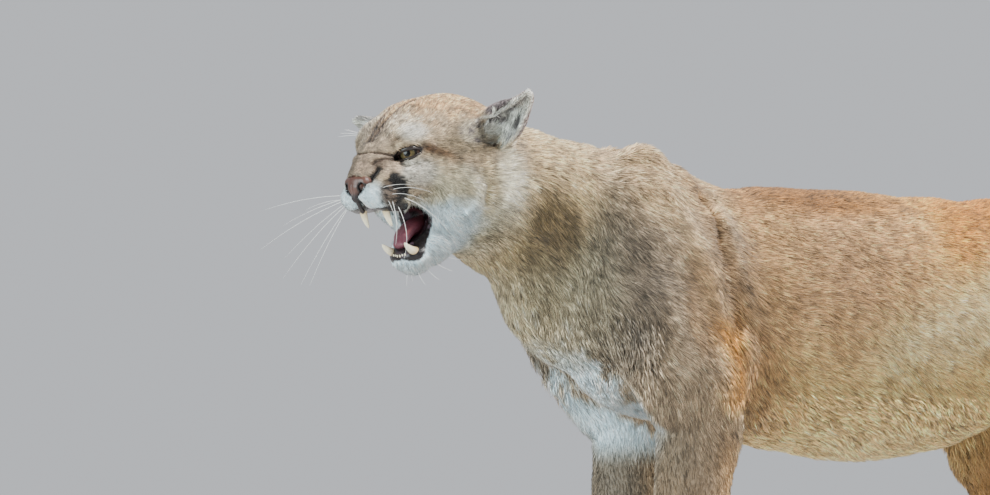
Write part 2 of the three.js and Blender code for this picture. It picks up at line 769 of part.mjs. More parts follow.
// The tongue lies in the gape, clear of the jaw and the throat
const tongueField = new Field();
const tongueLine = [
  [-34, 0, -2, 18, 12],
  [-54, 0, 2, 19, 9],
  [-74, 0, 0, 17, 7],
  [-88, 0, -6, 11, 5],
];
tongueField.add(limb(tongueLine, jawFrame), 1);
const tongueMesh = thin(skin(tongueField, [-420, -110, 570], [-280, 30, 700], 4.2), 300);
let tongue = clearOf(toSolid(tongueMesh), jaw);
tongue = clearOf(tongue, head);
nodes.set("head", head);
nodes.set("lower_jaw", jaw);
nodes.set("tongue", tongue);

// Legs, paws and the tail
const ground = geometryToSolid(
  new THREE.BoxGeometry(3000, 1000, 200),
  new THREE.Matrix4().makeTranslation(300, 0, -100),
);
for (const [name, s] of Object.entries(SIDES)) {
  const stride = HIND_STRIDE[name];
  const inner = s > 0 ? 14 : -200;
  const outer = s > 0 ? 200 : -14;
  const atFore = partOff(body, (grow) =>
    boxRegion([-150, inner, -50], [70, outer, 380], new THREE.Matrix4(), grow),
  );
  body = atFore.rest;
  nodes.set(`foreleg_${name}`, atFore.part);
  const groin = frameAlong([600, 0, 402], [1, 0, 0.3], [0, 0, 1]);
  const atHind = partOff(body, (grow) =>
    boxRegion([-180, inner, -500], [180, outer, 0], groin, grow),
  );
  body = atHind.rest;
  nodes.set(`hindleg_${name}`, atHind.part);
  const paws = [
    ["fore", -34 + FORE_STRIDE[name], SHOULDER_LEG_Y, 1],
    ["hind", 626 + stride, HIP_LEG_Y, 0.9],
  ];
  for (const [end, x, y, size] of paws) {
    const low = [x - 96, s * y - 62, -18];
    const high = [x + 84, s * y + 62, 92];
    const mesh = thin(skin(whole, low, high, 5.2), 480);
    const ankle = (grow) =>
      boxRegion([x - 90, s * y - 58, -60], [x + 78, s * y + 58, 66], new THREE.Matrix4(), grow);
    let paw = largest(toSolid(mesh).intersect(ankle(-CUT_GAP / 2))).subtract(ground);
    const claws = [];
    for (let toe = 0; toe < 4; toe++) {
      const [tx, ty, tz] = toeTip(x, s * y, size, toe);
      claws.push(
        spike([tx + 7, ty, tz + 3], [tx + 7 - CLAW.length, ty, tz - 2.5], CLAW.radius),
      );
    }
    paw = fuse(paw, claws);
    nodes.set(`${end}paw_${name}`, paw);
    const leg = `${end}leg_${name}`;
    nodes.set(leg, largest(nodes.get(leg).subtract(ankle(CUT_GAP / 2))));
  }
}
const tailCuts = [
  ["tail_root", [765, 0, 575], [0.97, 0, -0.24]],
  ["tail_middle", [838, 0, 400], [0.2, 0, -0.98]],
  ["tail_tip", [884, 0, 203], [0.45, 0, -0.89]],
];
for (const [name, at, way] of tailCuts.reverse()) {
  const frame = frameAlong(at, way, [0, 1, 0]);
  const cut = partOff(body, (grow) => boxRegion([0, -320, -60], [420, 320, 60], frame, grow));
  nodes.set(name, cut.part);
  body = cut.rest;
}
nodes.set("torso", body);

// Colours by the kind of surface; fur is the rest
const SURFACES = [
  ["eye", 0x9a8a4c, 0.15],
  ["nose", 0x8a5346, 0.5],
  ["tongue", 0xb9727a, 0.4],
  ["tail_tip", 0x6b5138, 0.9],
  ["lower_jaw", 0xe4dccb, 0.9],
  ["", 0xb08a5f, 0.9],
];

const group = new THREE.Group();
for (const [name, solid] of nodes) {
  const { vertProperties, triVerts, numProp } = solid.getMesh();
  const geometry = new THREE.BufferGeometry();
  geometry.setAttribute("position", new THREE.BufferAttribute(vertProperties, numProp));
  geometry.setIndex(new THREE.BufferAttribute(triVerts, 1));
  const [, color, roughness] = SURFACES.find(([start]) => name.startsWith(start));
  const material = new THREE.MeshStandardMaterial({ color, roughness, metalness: 0 });
  const mesh = new THREE.Mesh(geometry, material);
  mesh.name = name;
  group.add(mesh);
}
const bounds = new THREE.Box3().setFromObject(group);
const middle = bounds.getCenter(new THREE.Vector3());
for (const mesh of group.children) mesh.geometry.translate(-middle.x, -middle.y, -bounds.min.z);

export default group;
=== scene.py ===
# A life-size standing cougar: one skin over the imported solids, a coat of solid tufts, and its face.
# Shapes are worked out in the sculpt's own millimetres and moved into the frame's metres at the end.
import json
import math

import bpy
import numpy as np
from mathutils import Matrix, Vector

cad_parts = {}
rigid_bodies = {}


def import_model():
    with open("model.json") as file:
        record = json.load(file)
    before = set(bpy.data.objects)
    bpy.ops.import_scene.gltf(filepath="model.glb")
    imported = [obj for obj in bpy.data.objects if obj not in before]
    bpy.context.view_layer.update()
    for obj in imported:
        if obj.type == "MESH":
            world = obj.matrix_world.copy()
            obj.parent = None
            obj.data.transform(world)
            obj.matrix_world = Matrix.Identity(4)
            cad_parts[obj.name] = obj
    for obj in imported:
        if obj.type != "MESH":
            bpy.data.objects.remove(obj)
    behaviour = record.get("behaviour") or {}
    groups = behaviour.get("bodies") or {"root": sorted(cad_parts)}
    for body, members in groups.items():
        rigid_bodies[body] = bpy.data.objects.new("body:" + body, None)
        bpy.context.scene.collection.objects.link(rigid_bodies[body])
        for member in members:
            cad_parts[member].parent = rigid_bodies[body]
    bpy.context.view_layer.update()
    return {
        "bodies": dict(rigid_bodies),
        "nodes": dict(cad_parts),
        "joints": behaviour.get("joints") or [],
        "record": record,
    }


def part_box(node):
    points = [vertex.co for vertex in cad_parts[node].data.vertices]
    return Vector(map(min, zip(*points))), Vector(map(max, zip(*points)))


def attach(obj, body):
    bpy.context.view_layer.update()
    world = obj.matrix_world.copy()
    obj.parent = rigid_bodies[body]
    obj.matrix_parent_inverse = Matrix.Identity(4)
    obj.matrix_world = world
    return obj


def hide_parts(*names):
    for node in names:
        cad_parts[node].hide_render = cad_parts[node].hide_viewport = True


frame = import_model()
rng = np.random.default_rng(58)

# Named sizes, the same as the solids are made from
SHOULDER_LEG_Y = 80
HIP_LEG_Y = 84
HIND_STRIDE = {"left": 57, "right": 0}
FORE_STRIDE = {"left": -16, "right": 0}
SHOULDER_TOP = {"left": (-54, 680), "right": (-30, 687)}
HEAD_AT = (-329, -26, 681)
HEAD_YAW = 21.6
HEAD_ROLL = -1
HEAD_PITCH = -4.3
JAW_JOINT = (28, 0, -38)
GAPE = 33
EYE_AT = (-48.5, 27, 9)
EYE_RADIUS = 14.5
EYE_SPLAY = 28
LID_THICKNESS = 3.4
EAR_ROOT = (62, 62, 23)
EAR_TIP = {"left": (45, 126, 71), "right": (50, 130, 57)}
EAR_FACING = (-0.9, 0.12, -0.38)
EAR_HALF_WIDTH = 21
SIDES = {"left": -1, "right": 1}
TRUNK = [
    (-42, 0, 524, 84, 96),
    (0, 0, 526, 100, 126),
    (70, 0, 528, 112, 141),
    (160, 0, 523, 122, 154),
    (260, 0, 517, 125, 160),
    (350, 0, 521, 120, 152),
    (440, 0, 543, 108, 129),
    (540, 0, 566, 98, 112),
    (630, 0, 580, 84, 94),
    (690, 0, 588, 60, 64),
]
NECK = [
    (-40, 0, 594, 82, 110),
    (-105, 0, 609, 82, 105),
    (-180, -2, 638, 79, 90),
    (-240, -6, 658, 75, 82),
    (-290, -14, 674, 64, 68),
]
TAIL = [
    (690, 0, 628, 34, 34),
    (750, 0, 592, 32, 33),
    (800, 0, 520, 28, 29),
    (832, 0, 430, 26, 27),
    (850, 0, 335, 25, 25),
    (866, 0, 245, 24, 24),
    (900, 0, 172, 24, 24),
    (960, 0, 134, 24, 24),
    (1022, 0, 150, 24, 24),
]


# Frames, as 4 by 4 matrices
def turn(axis, degrees):
    a = math.radians(degrees)
    c, s = math.cos(a), math.sin(a)
    m = np.eye(4)
    i, j = {"x": (1, 2), "y": (2, 0), "z": (0, 1)}[axis]
    m[i, i] = m[j, j] = c
    m[i, j], m[j, i] = -s, s
    return m


def shift(p):
    m = np.eye(4)
    m[:3, 3] = p
    return m


def unit(v):
    v = np.asarray(v, float)
    return v / np.maximum(1e-9, np.linalg.norm(v, axis=-1, keepdims=True))


def frame_along(origin, x_way, z_hint):
    x = unit(x_way)
    z = np.asarray(z_hint, float)
    z = unit(z - x * z.dot(x))
    m = np.eye(4)
    m[:3, 0], m[:3, 1], m[:3, 2], m[:3, 3] = x, np.cross(z, x), z, origin
    return m


def local(m, points):
    """Points of the sculpt in the frame m"""
    inverse = np.linalg.inv(m)
    return points @ inverse[:3, :3].T + inverse[:3, 3]


def placed(m, points):
    """Points of the frame m in the sculpt"""
    return np.asarray(points, float) @ m[:3, :3].T + m[:3, 3]


HEAD = shift(HEAD_AT) @ turn("z", HEAD_YAW) @ turn("y", HEAD_PITCH) @ turn("x", HEAD_ROLL)
JAW = HEAD @ shift(JAW_JOINT) @ turn("y", -GAPE)
MID = HEAD @ shift(JAW_JOINT) @ turn("y", -GAPE / 2)


def ear_frame(name):
    s = SIDES[name]
    root = np.array([EAR_ROOT[0], s * EAR_ROOT[1], EAR_ROOT[2]])
    tip = np.array([EAR_TIP[name][0], s * EAR_TIP[name][1], EAR_TIP[name][2]])
    facing = (EAR_FACING[0], s * EAR_FACING[1], EAR_FACING[2])
    return HEAD @ frame_along(root, tip - root, facing)


def ear_length(name):
    return float(np.linalg.norm(np.subtract(EAR_TIP[name], EAR_ROOT)))


def eye_at(s):
    return np.array([EYE_AT[0], s * EYE_AT[1], EYE_AT[2]])


def eye_frame(s):
    splay = math.radians(EYE_SPLAY)
    gaze = (-math.cos(splay), s * math.sin(splay), 0.02)
    return HEAD @ frame_along(eye_at(s), gaze, (0, -s * 0.36, 1))


# The offset from the sculpt to the frame comes from the left eye, whose place both know
eye_low, eye_high = (np.array(c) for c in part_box("eye_left"))
OFFSET = placed(HEAD, eye_at(-1)) - (eye_low + eye_high) * 500


def to_frame(points):
    return (np.asarray(points) - OFFSET) / 1000


# Signed distances
def round_distance(k0, k1, least):
    return np.where(k1 < 1e-9, -least, k0 * (k0 - 1) / np.maximum(k1, 1e-9))


class Lump:
    """An ellipsoid in a frame"""

    def __init__(self, centre, radii, frame=None, turn_y=0):
        own = (np.eye(4) if frame is None else frame) @ shift(centre) @ turn("y", turn_y)
        self.inverse = np.linalg.inv(own)
        self.radii = np.array(radii, float)
        self.at = own[:3, 3]
        self.reach = max(radii)

    def distance(self, p):
        q = (p @ self.inverse[:3, :3].T + self.inverse[:3, 3]) / self.radii
        k0 = np.linalg.norm(q, axis=1)
        k1 = np.linalg.norm(q / self.radii, axis=1)
        return round_distance(k0, k1, self.radii.min())


def curve_point(points, t):
    """A point of a centripetal curve through the points, with t from 0 to 1"""
    last = len(points) - 1
    k = min(int(math.floor(t * last)), last - 1)
    w = t * last - k
    p1, p2 = points[k], points[k + 1]
    p0 = points[k - 1] if k > 0 else 2 * points[0] - points[1]
    p3 = points[k + 2] if k + 2 <= last else 2 * points[last] - points[last - 1]
    d0, d1, d2 = (math.sqrt(np.linalg.norm(b - a)) for a, b in ((p0, p1), (p1, p2), (p2, p3)))
    t1 = ((p1 - p0) / d0 - (p2 - p0) / (d0 + d1) + (p2 - p1) / d1) * d1
    t2 = ((p2 - p1) / d1 - (p3 - p1) / (d1 + d2) + (p3 - p2) / d2) * d1
    c2 = -3 * p1 + 3 * p2 - 2 * t1 - t2
    c3 = 2 * p1 - 2 * p2 + t1 + t2
    return p1 + t1 * w + c2 * w * w + c3 * w**3


class Limb:
    """A tube of elliptic section through stations of place, half width and half depth"""

    def __init__(self, stations, frame=None, steps=4):
        frame = np.eye(4) if frame is None else frame
        stations = np.array(stations, float)
        self.side = frame[:3, 1]
        rings = []
        n = (len(stations) - 1) * steps
        for i in range(n + 1):
            t = i / n
            k = min(int(t * (len(stations) - 1)), len(stations) - 2)
            f = t * (len(stations) - 1) - k
            ease = f * f * (3 - 2 * f)
            p = placed(frame, curve_point(stations[:, :3], t))
            size = stations[k, 3:] + (stations[k + 1, 3:] - stations[k, 3:]) * ease
            rings.append((*p, *size))
        self.rings = np.array(rings)
        low, high = self.rings[:, :3].min(0), self.rings[:, :3].max(0)
        self.at = (low + high) / 2
        gaps = np.linalg.norm(self.rings[:, :3] - self.at, axis=1)
        self.reach = float((gaps + self.rings[:, 3:].max(1)).max())

    def distance(self, p):
        best = np.full(len(p), 1e6)
        for a, b in zip(self.rings[:-1], self.rings[1:]):
            e = b[:3] - a[:3]
            off = p - a[:3]
            t = np.clip(off @ e / e.dot(e), 0, 1)
            off -= t[:, None] * e
            wide = a[3] + t * (b[3] - a[3])
            deep = a[4] + t * (b[4] - a[4])
            s = off @ self.side
            rest = np.sqrt(np.maximum(0, np.einsum("ij,ij->i", off, off) - s * s))
            k0 = np.hypot(s / wide, rest / deep)
            k1 = np.hypot(s / wide**2, rest / deep**2)
            best = np.minimum(best, round_distance(k0, k1, min(a[3:].min(), b[3:].min())))
        return best


class Field:
    """Forms joined one after another, each blended in or carved out over its own width"""

    def __init__(self):
        self.steps = []

    def add(self, form, blend):
        self.steps.append((form, blend, False))
        return self

    def carve(self, form, blend):
        self.steps.append((form, blend, True))
        return self

    def distance(self, p):
        d = np.full(len(p), 1e3)
        for form, blend, carve in self.steps:
            away = np.linalg.norm(p - form.at, axis=1) - form.reach
            near = away <= blend + np.maximum(0, -d if carve else d)
            if not near.any():
                continue
            e = form.distance(p[near])
            own = d[near]
            gap = np.abs(own + e) if carve else np.abs(own - e)
            overlap = np.maximum(0, blend - gap) / blend
            smooth = overlap * overlap * blend / 4
            d[near] = np.maximum(own, -e) + smooth if carve else np.minimum(own, e) - smooth
        return d

    def slope(self, p, h=0.4):
        g = np.zeros_like(p)
        for corner in ((1, -1, -1), (-1, -1, 1), (-1, 1, -1), (1, 1, 1)):
            g += np.outer(self.distance(p + h * np.array(corner)), corner)
        return g / (4 * h)


def foreleg(s, dx, top):
    y = s * SHOULDER_LEG_Y
    return [
        (top[0], s * 54, top[1], 24, 34),
        (-60, s * 80, 600, 34, 66),
        (-69, s * 90, 515, 40, 61),
        (-11 + dx * 0.5, s * 92, 450, 45, 67),
        (18 + dx, s * 86, 398, 42, 55),
        (12 + dx, s * 82, 330, 41, 47),
        (4 + dx, y, 240, 34, 38),
        (-4 + dx, y, 150, 30, 31),
        (-14 + dx, y, 90, 32, 28),
        (-28 + dx, y, 50, 36, 28),
    ]


def hindleg(s, dx):
    y = s * HIP_LEG_Y
    return [
        (620, s * 62, 596, 46, 76),
        (580 + dx * 0.2, s * 84, 500, 56, 100),
        (530 + dx * 0.5, s * 96, 402, 46, 62),
        (580 + dx * 0.7, s * 91, 312, 36, 44),
        (642 + dx, s * 87, 246, 26, 30),
        (674 + dx, y, 204, 24, 29),
        (668 + dx, y, 130, 22, 24),
        (654 + dx, y, 72, 27, 25),
        (634 + dx, y, 44, 33, 26),
    ]


def hamstring(s, dx):
    return [
        (694, s * 74, 536, 34, 40),
        (668 + dx * 0.3, s * 84, 440, 34, 44),
        (616 + dx * 0.6, s * 88, 352, 28, 36),
        (650 + dx * 0.9, s * 86, 284, 16, 22),
        (692 + dx, s * HIP_LEG_Y, 222, 13, 15),
    ]


def toe_tip(x, y, size, toe):
    ahead = 66 - 5.5 * (toe - 1.5) ** 2
    return np.array([x - ahead * size, y + (toe - 1.5) * 21 * size, 16.5])


def add_paw(field, x, y, size):
    field.add(Lump((x - 8, y, 26), (46 * size, 40 * size, 26)), 16)
    for toe in range(4):
        tx, ty, tz = toe_tip(x, y, size, toe)
        field.add(Lump((tx + 24 * size, ty, tz), (24 * size, 12.5 * size, 20)), 6)
    field.add(Lump((x + 6, y, 12), (24 * size, 26 * size, 16)), 8)


PAWS = [
    (x, s * y, size)
    for name, s in SIDES.items()
    for x, y, size in (
        (-34 + FORE_STRIDE[name], SHOULDER_LEG_Y, 1),
        (626 + HIND_STRIDE[name], HIP_LEG_Y, 0.9),
    )
]


def body_field():
    field = Field()
    field.add(Limb(TRUNK), 1)
    field.add(Limb(NECK), 60)
    field.add(Lump((-163, 4, 545), (38, 44, 58)), 34)
    for name, s in SIDES.items():
        dx = HIND_STRIDE[name]
        field.add(Limb(foreleg(s, FORE_STRIDE[name], SHOULDER_TOP[name])), 34)
        field.add(Lump((2, s * 84, 552), (52, 34, 88), None, 12), 30)
        field.add(Lump((-12, s * 54, 646), (30, 26, 44)), 18)
        field.add(Lump((-117, s * 38, 533), (40, 44, 60)), 40)
        field.add(Limb(hindleg(s, dx)), 34)
        field.add(Lump((655 + dx * 0.2, s * 66, 520), (62, 42, 92), None, -12), 34)
        field.add(Limb(hamstring(s, dx)), 26)
    for x, y, size in PAWS:
        add_paw(field, x, y, size)
    field.add(Limb(TAIL), 26)
    return field


def ear_cups(name):
    """The two hollows of an ear"""
    m = ear_frame(name)
    long = ear_length(name)
    wide = Lump((long * 0.34, 0, 10), (long * 0.4, EAR_HALF_WIDTH - 6, 15), m)
    narrow = Lump((long * 0.62, -3, 8), (long * 0.33, EAR_HALF_WIDTH * 0.4, 9), m)
    return wide, narrow


def add_ear(field, name):
    m = ear_frame(name)
    long = ear_length(name)
    field.add(Lump((long * 0.3, 0, 0), (long * 0.46, EAR_HALF_WIDTH, 16), m), 12)
    field.add(Lump((long * 0.62, -3, 0), (long * 0.4, EAR_HALF_WIDTH * 0.58, 9), m), 10)
    for cup in ear_cups(name):
        field.carve(cup, 3)


def add_head(field):
    h, j = HEAD, JAW
    bridge = [
        (-108, 0, -25, 15, 14),
        (-97, 0, -11, 17, 17),
        (-78, 0, 4, 21, 21),
        (-48, 0, 18, 27, 29),
    ]
    mandible = [
        (-4, 0, -20, 46, 38),
        (-48, 0, -27, 37, 27),
        (-80, 0, -24, 27, 17),
        (-90, 0, -20, 19, 11),
    ]
    field.add(Lump((27, 0, 14), (66, 55, 56), h), 50)
    field.add(Lump((-20, 0, 14), (51, 45, 52), h), 26)
    field.add(Lump((56, 0, 28), (42, 48, 42), h), 24)
    field.add(Limb(bridge, h), 14)
    for s in (-1, 1):
        brow = [
            (-72, s * 13, 14, 9, 8),
            (-60, s * 25, 21, 11, 9),
            (-40, s * 38, 22, 9, 7),
        ]
        field.add(Lump((16, s * 43, -26), (46, 28, 42), h, -10), 24)
        field.add(Lump((-48, s * 29, -20), (32, 18, 20), h, -20), 16)
        field.add(Limb(brow, h), 14)
        field.add(Lump((-46, s * 22, 30), (25, 17, 18), h), 12)
        field.add(Lump((-80, s * 17, -20), (24, 15, 18), h, -30), 10)
        field.add(Lump((-93, s * 14.5, -37), (23, 16, 15), h, 6), 6)
        field.add(Lump((-76, s * 22, -41), (27, 13, 15), h, 10), 8)
    field.add(Lump((-109, 0, -25), (10, 16, 12), h), 5)
    field.add(Limb(mandible, j), 20)
    field.add(Lump((-78, 0, -34), (15, 17, 14), j), 8)
    field.carve(Lump((-112, 0, -11), (50, 48, 29), MID), 5)
    field.carve(Lump((-78, 0, -10), (46, 25, 21), MID), 6)
    for name, s in SIDES.items():
        lids = EYE_RADIUS + LID_THICKNESS
        field.add(Lump(eye_at(s), (lids, lids, lids), h), 6)
        field.carve(Lump((EYE_RADIUS + 2, 0, 0), (13, 16, 5.6), eye_frame(s)), 1.6)
        ear_base = [(64, s * 45, 46, 10, 10), (54, s * 68, 52, 9, 9), (45, s * 88, 56, 6, 6)]
        field.add(Limb(ear_base, h), 8)
        add_ear(field, name)


# Surface nets: one vertex in each cell that the level crosses, then moved onto it
class Level:
    """A field moved inwards by a depth that changes over the body"""

    def __init__(self, field, depth):
        self.field, self.depth = field, depth

    def distance(self, p):
        return self.field.distance(p) + self.depth(p)

    slope = Field.slope


def in_chunks(function, points, size=200000):
    return np.concatenate([function(points[i : i + size]) for i in range(0, len(points), size)])


def surface(field, low, high, cell, rounds=2):
    block = 4
    low = np.array(low, float)
    blocks = np.ceil((np.array(high) - low) / cell / block).astype(int) + 1
    n = blocks * block
    corner = np.stack(np.meshgrid(*[np.arange(b) for b in blocks], indexing="ij"), -1).reshape(-1, 3)
    centre = low + (corner * block + (block - 1) / 2) * cell
    far = in_chunks(field.distance, centre)
    near = np.abs(far) < block * cell * 1.7
    values = np.empty(tuple(n))
    view = values.reshape(blocks[0], block, blocks[1], block, blocks[2], block)
    view = view.transpose(0, 2, 4, 1, 3, 5)
    view[...] = far.reshape(tuple(blocks))[..., None, None, None]
    inner = np.stack(np.meshgrid(*[np.arange(block)] * 3, indexing="ij"), -1).reshape(-1, 3)
    fine = (corner[near][:, None, :] * block + inner[None]).reshape(-1, 3) * cell + low
    view[near.reshape(tuple(blocks))] = in_chunks(field.distance, fine).reshape(-1, block, block, block)
    inside = values < 0
    cells = np.zeros(tuple(n - 1), int)
    for i in (0, 1):
        for j in (0, 1):
            for k in (0, 1):
                cells += inside[i : n[0] - 1 + i, j : n[1] - 1 + j, k : n[2] - 1 + k]
    active = np.argwhere((cells > 0) & (cells < 8))
    total = np.zeros((len(active), 3))
    count = np.zeros(len(active))
    for axis in range(3):
        for a1 in (0, 1):
            for a2 in (0, 1):
                a = np.zeros(3, int)
                a[(axis + 1) % 3], a[(axis + 2) % 3] = a1, a2
                b = a.copy()
                b[axis] = 1
                va = values[tuple((active + a).T)]
                vb = values[tuple((active + b).T)]
                crossed = (va < 0) != (vb < 0)
                t = np.where(crossed, va / np.where(crossed, va - vb, 1), 0)
                total += crossed[:, None] * (a + t[:, None] * (b - a))
                count += crossed
    points = low + (active + total / count[:, None]) * cell
    ids = np.full(tuple(n - 1), -1)
    ids[tuple(active.T)] = np.arange(len(active))
    quads = []
    for axis in range(3):
        u, w = (axis + 1) % 3, (axis + 2) % 3
        step = np.zeros(3, int)
        step[axis] = 1
        span = [slice(0, n[c] - 1) for c in range(3)]
        ahead = [slice(step[c], n[c] - 1 + step[c]) for c in range(3)]
        first, second = inside[tuple(span)], inside[tuple(ahead)]
        at = np.argwhere(first != second)
        at = at[(at[:, u] > 0) & (at[:, w] > 0) & (at[:, u] < n[u] - 1) & (at[:, w] < n[w] - 1)]
        at = at[at[:, axis] < n[axis] - 1]
        outward = first[tuple(at.T)]
        ring = []
        for p, q in ((0, 0), (1, 0), (1, 1), (0, 1)):
            c = at.copy()
            c[:, u] -= p
            c[:, w] -= q
            ring.append(ids[tuple(c.T)])
        ring = np.stack(ring, 1)
        ring[~outward] = ring[~outward][:, ::-1]
        quads.append(ring)
    quads = np.concatenate(quads)
    quads = quads[(quads >= 0).all(1)]
    for _ in range(rounds):
        g = in_chunks(field.slope, points)
        steep = np.maximum(0.04, np.einsum("ij,ij->i", g, g))
        move = np.clip(in_chunks(field.distance, points) / steep, -cell / 4, cell / 4)
        points -= move[:, None] * g
    return points, quads


# Smooth steps, noise and places on the body
def ease(x, a, b):
    t = np.clip((x - a) / (b - a), 0, 1)
    return t * t * (3 - 2 * t)


def bell(x, middle, width):
    return np.exp(-(((x - middle) / width) ** 2))


LATTICE_SIZE = 65536
LATTICE = np.random.default_rng(7).random(LATTICE_SIZE)


def cell_key(cell):
    """One whole number for each cell of a lattice"""
    return (cell[:, 0] * 73856093) ^ (cell[:, 1] * 19349663) ^ (cell[:, 2] * 83492791)


def noise(p, scale, seed=0):
    """Value noise from 0 to 1"""
    q = p / scale + 512
    cell = np.floor(q).astype(np.int64)
    f = q - cell
    f = f * f * (3 - 2 * f)
    total = np.zeros(len(p))
    for corner in np.ndindex(2, 2, 2):
        key = cell_key(cell + corner) ^ (seed * 2654435)
        weight = np.prod(np.where(np.array(corner) == 1, f, 1 - f), axis=1)
        total += weight * LATTICE[key & (LATTICE_SIZE - 1)]
    return total


def spot(q, centre, radii):
    """1 inside a soft ball and 0 outside it"""
    d = np.linalg.norm((q - np.array(centre, float)) / np.array(radii, float), axis=1)
    return 1 - ease(d, 0.6, 1.35)


def stroke(q, points, width):
    """1 along a soft line through the points and 0 away from it"""
    points = np.array(points, float)
    best = np.full(len(q), 1e9)
    for a, b in zip(points[:-1], points[1:]):
        e = b - a
        t = np.clip((q - a) @ e / e.dot(e), 0, 1)
        best = np.minimum(best, np.linalg.norm(q - a - t[:, None] * e, axis=1))
    return np.exp(-((best / width) ** 2))


def stepped(value, *steps):
    """A value led towards one goal after another, each by its own weight"""
    for weight, goal in steps:
        value = value + weight * (goal - value)
    return value


def folded(points):
    """Points with the left side laid over the right"""
    points = points.copy()
    points[:, 1] = np.abs(points[:, 1])
    return points


class Place:
    """Where points of the sculpt are on the animal, as soft weights"""

    def __init__(self, p):
        self.p = p
        self.x, self.y, self.z = p.T
        self.h = local(HEAD, p)
        self.j = local(JAW, p)
        hx, hz = self.h[:, 0], self.h[:, 2]
        self.head = 1 - ease(hx - 0.35 * hz, 62, 118)
        self.head *= 1 - ease(self.x, -230, -190)
        self.muzzle = self.head * (1 - ease(hx, -84, -52))
        self.jaw = self.head * (1 - ease(self.j[:, 0], -52, -20)) * (1 - ease(self.j[:, 2], -10, 4))
        self.jaw *= ease(-hz, 46, 66)
        self.ear = np.zeros(len(p))
        self.ear_at = np.zeros((len(p), 3))
        self.ear_side = np.where(self.h[:, 1] < 0, 1, -1)
        self.cup = np.full(len(p), 50.0)
        for name in SIDES:
            e = local(ear_frame(name), p)
            inside = ease(e[:, 0], 2, 22) * (1 - ease(np.abs(e[:, 1]), 25, 33))
            inside *= 1 - ease(np.abs(e[:, 2]), 18, 26)
            pick = inside > self.ear
            self.ear = np.maximum(self.ear, inside)
            self.ear_at[pick] = (e / [ear_length(name), 1, 1])[pick]
            if pick.any():
                cups = [form.distance(p[pick]) for form in ear_cups(name)]
                self.cup[pick] = np.minimum(*cups)
        hanging = ease(self.x, 735, 790) * (1 - ease(self.z, 610, 640))
        root = ease(self.x, 700, 760) * ease(self.z, 560, 590)
        self.tail = np.clip(hanging + root, 0, 1) * ease(self.x, 715, 770)
        fore = 1 - ease(np.abs(self.x + 10), 90, 130)
        hind = ease(self.x, 440, 520) * (1 - self.tail)
        self.foreleg = fore * (1 - ease(self.z, 330, 430))
        self.hindleg = hind * (1 - ease(self.z, 330, 470))
        self.leg = np.clip(self.foreleg + self.hindleg, 0, 1)
        self.paw = self.leg * (1 - ease(self.z, 45, 85))
        self.belly = ease(self.x, 50, 120) * (1 - ease(self.x, 520, 600)) * (1 - ease(self.z, 372, 470))
        self.belly *= 1 - self.leg
        self.chest = (1 - ease(self.x, -92, -48)) * (1 - ease(self.z, 440, 560)) * (1 - self.leg)
        self.chest *= 1 - self.head
        self.neck = (1 - ease(self.x, -110, -20)) * (1 - self.head) * (1 - self.leg)


# Mouth, eyes and nose: the bare places
MOUTH = [
    (Lump((-112, 0, -11), (50, 48, 29), MID), 5),
    (Lump((-78, 0, -10), (46, 25, 21), MID), 6),
]
NOSE_PAD_AT = (-113, 0, -24)
NOSE_PAD_RADII = (12, 14.5, 12)


def nose_distance(at):
    """How far points are from the middle of the nose pad, where 1 is its edge"""
    return np.linalg.norm((at.h - np.array(NOSE_PAD_AT)) / np.array(NOSE_PAD_RADII), axis=1)


def mouth_distance(p):
    """How far points are outside the hollow of the mouth"""
    return np.minimum(MOUTH[0][0].distance(p), MOUTH[1][0].distance(p))


def upper_lip(at, start):
    """1 on the hair that hangs from the upper lip, from a distance to the mouth to 12 mm"""
    near = 1 - ease(mouth_distance(at.p), start, 12)
    return near * ease(at.h[:, 0], -90, -60) * (1 - at.jaw) * at.head


def lip_width(p):
    """How wide the black lip is: broad along the side of the lower lip and narrow elsewhere"""
    m = local(MID, p)
    low = 1 - ease(m[:, 2], -10, 0)
    side = bell(m[:, 0], -77, 18) * ease(np.abs(m[:, 1]), 3, 17)
    front = 1 - ease(m[:, 0], -90, -80)
    return 2.8 + (1 - low) * 9.0 * front + low * (2.4 + 3.6 * front * (1 - side) + 12 * side)


def coat_depth(p):
    """How far the skin lies under the tips of the coat, in millimetres"""
    at = Place(p)
    depth = np.full(len(p), 4.6)
    depth += 4.4 * at.belly + 2 * at.chest
    depth = stepped(
        depth, (at.leg, 3.2), (at.paw, 1.8), (at.head, 2), (at.muzzle, 0.8), (at.ear, 0.8)
    )
    hollow = mouth_distance(p)
    depth *= ease(hollow, 0.5, 6)
    return depth - relief(at)


CHEEK_FRINGE = [(-3, 68, -11), (14, 72, -31), (16, 68, -47), (4, 62, -60)]
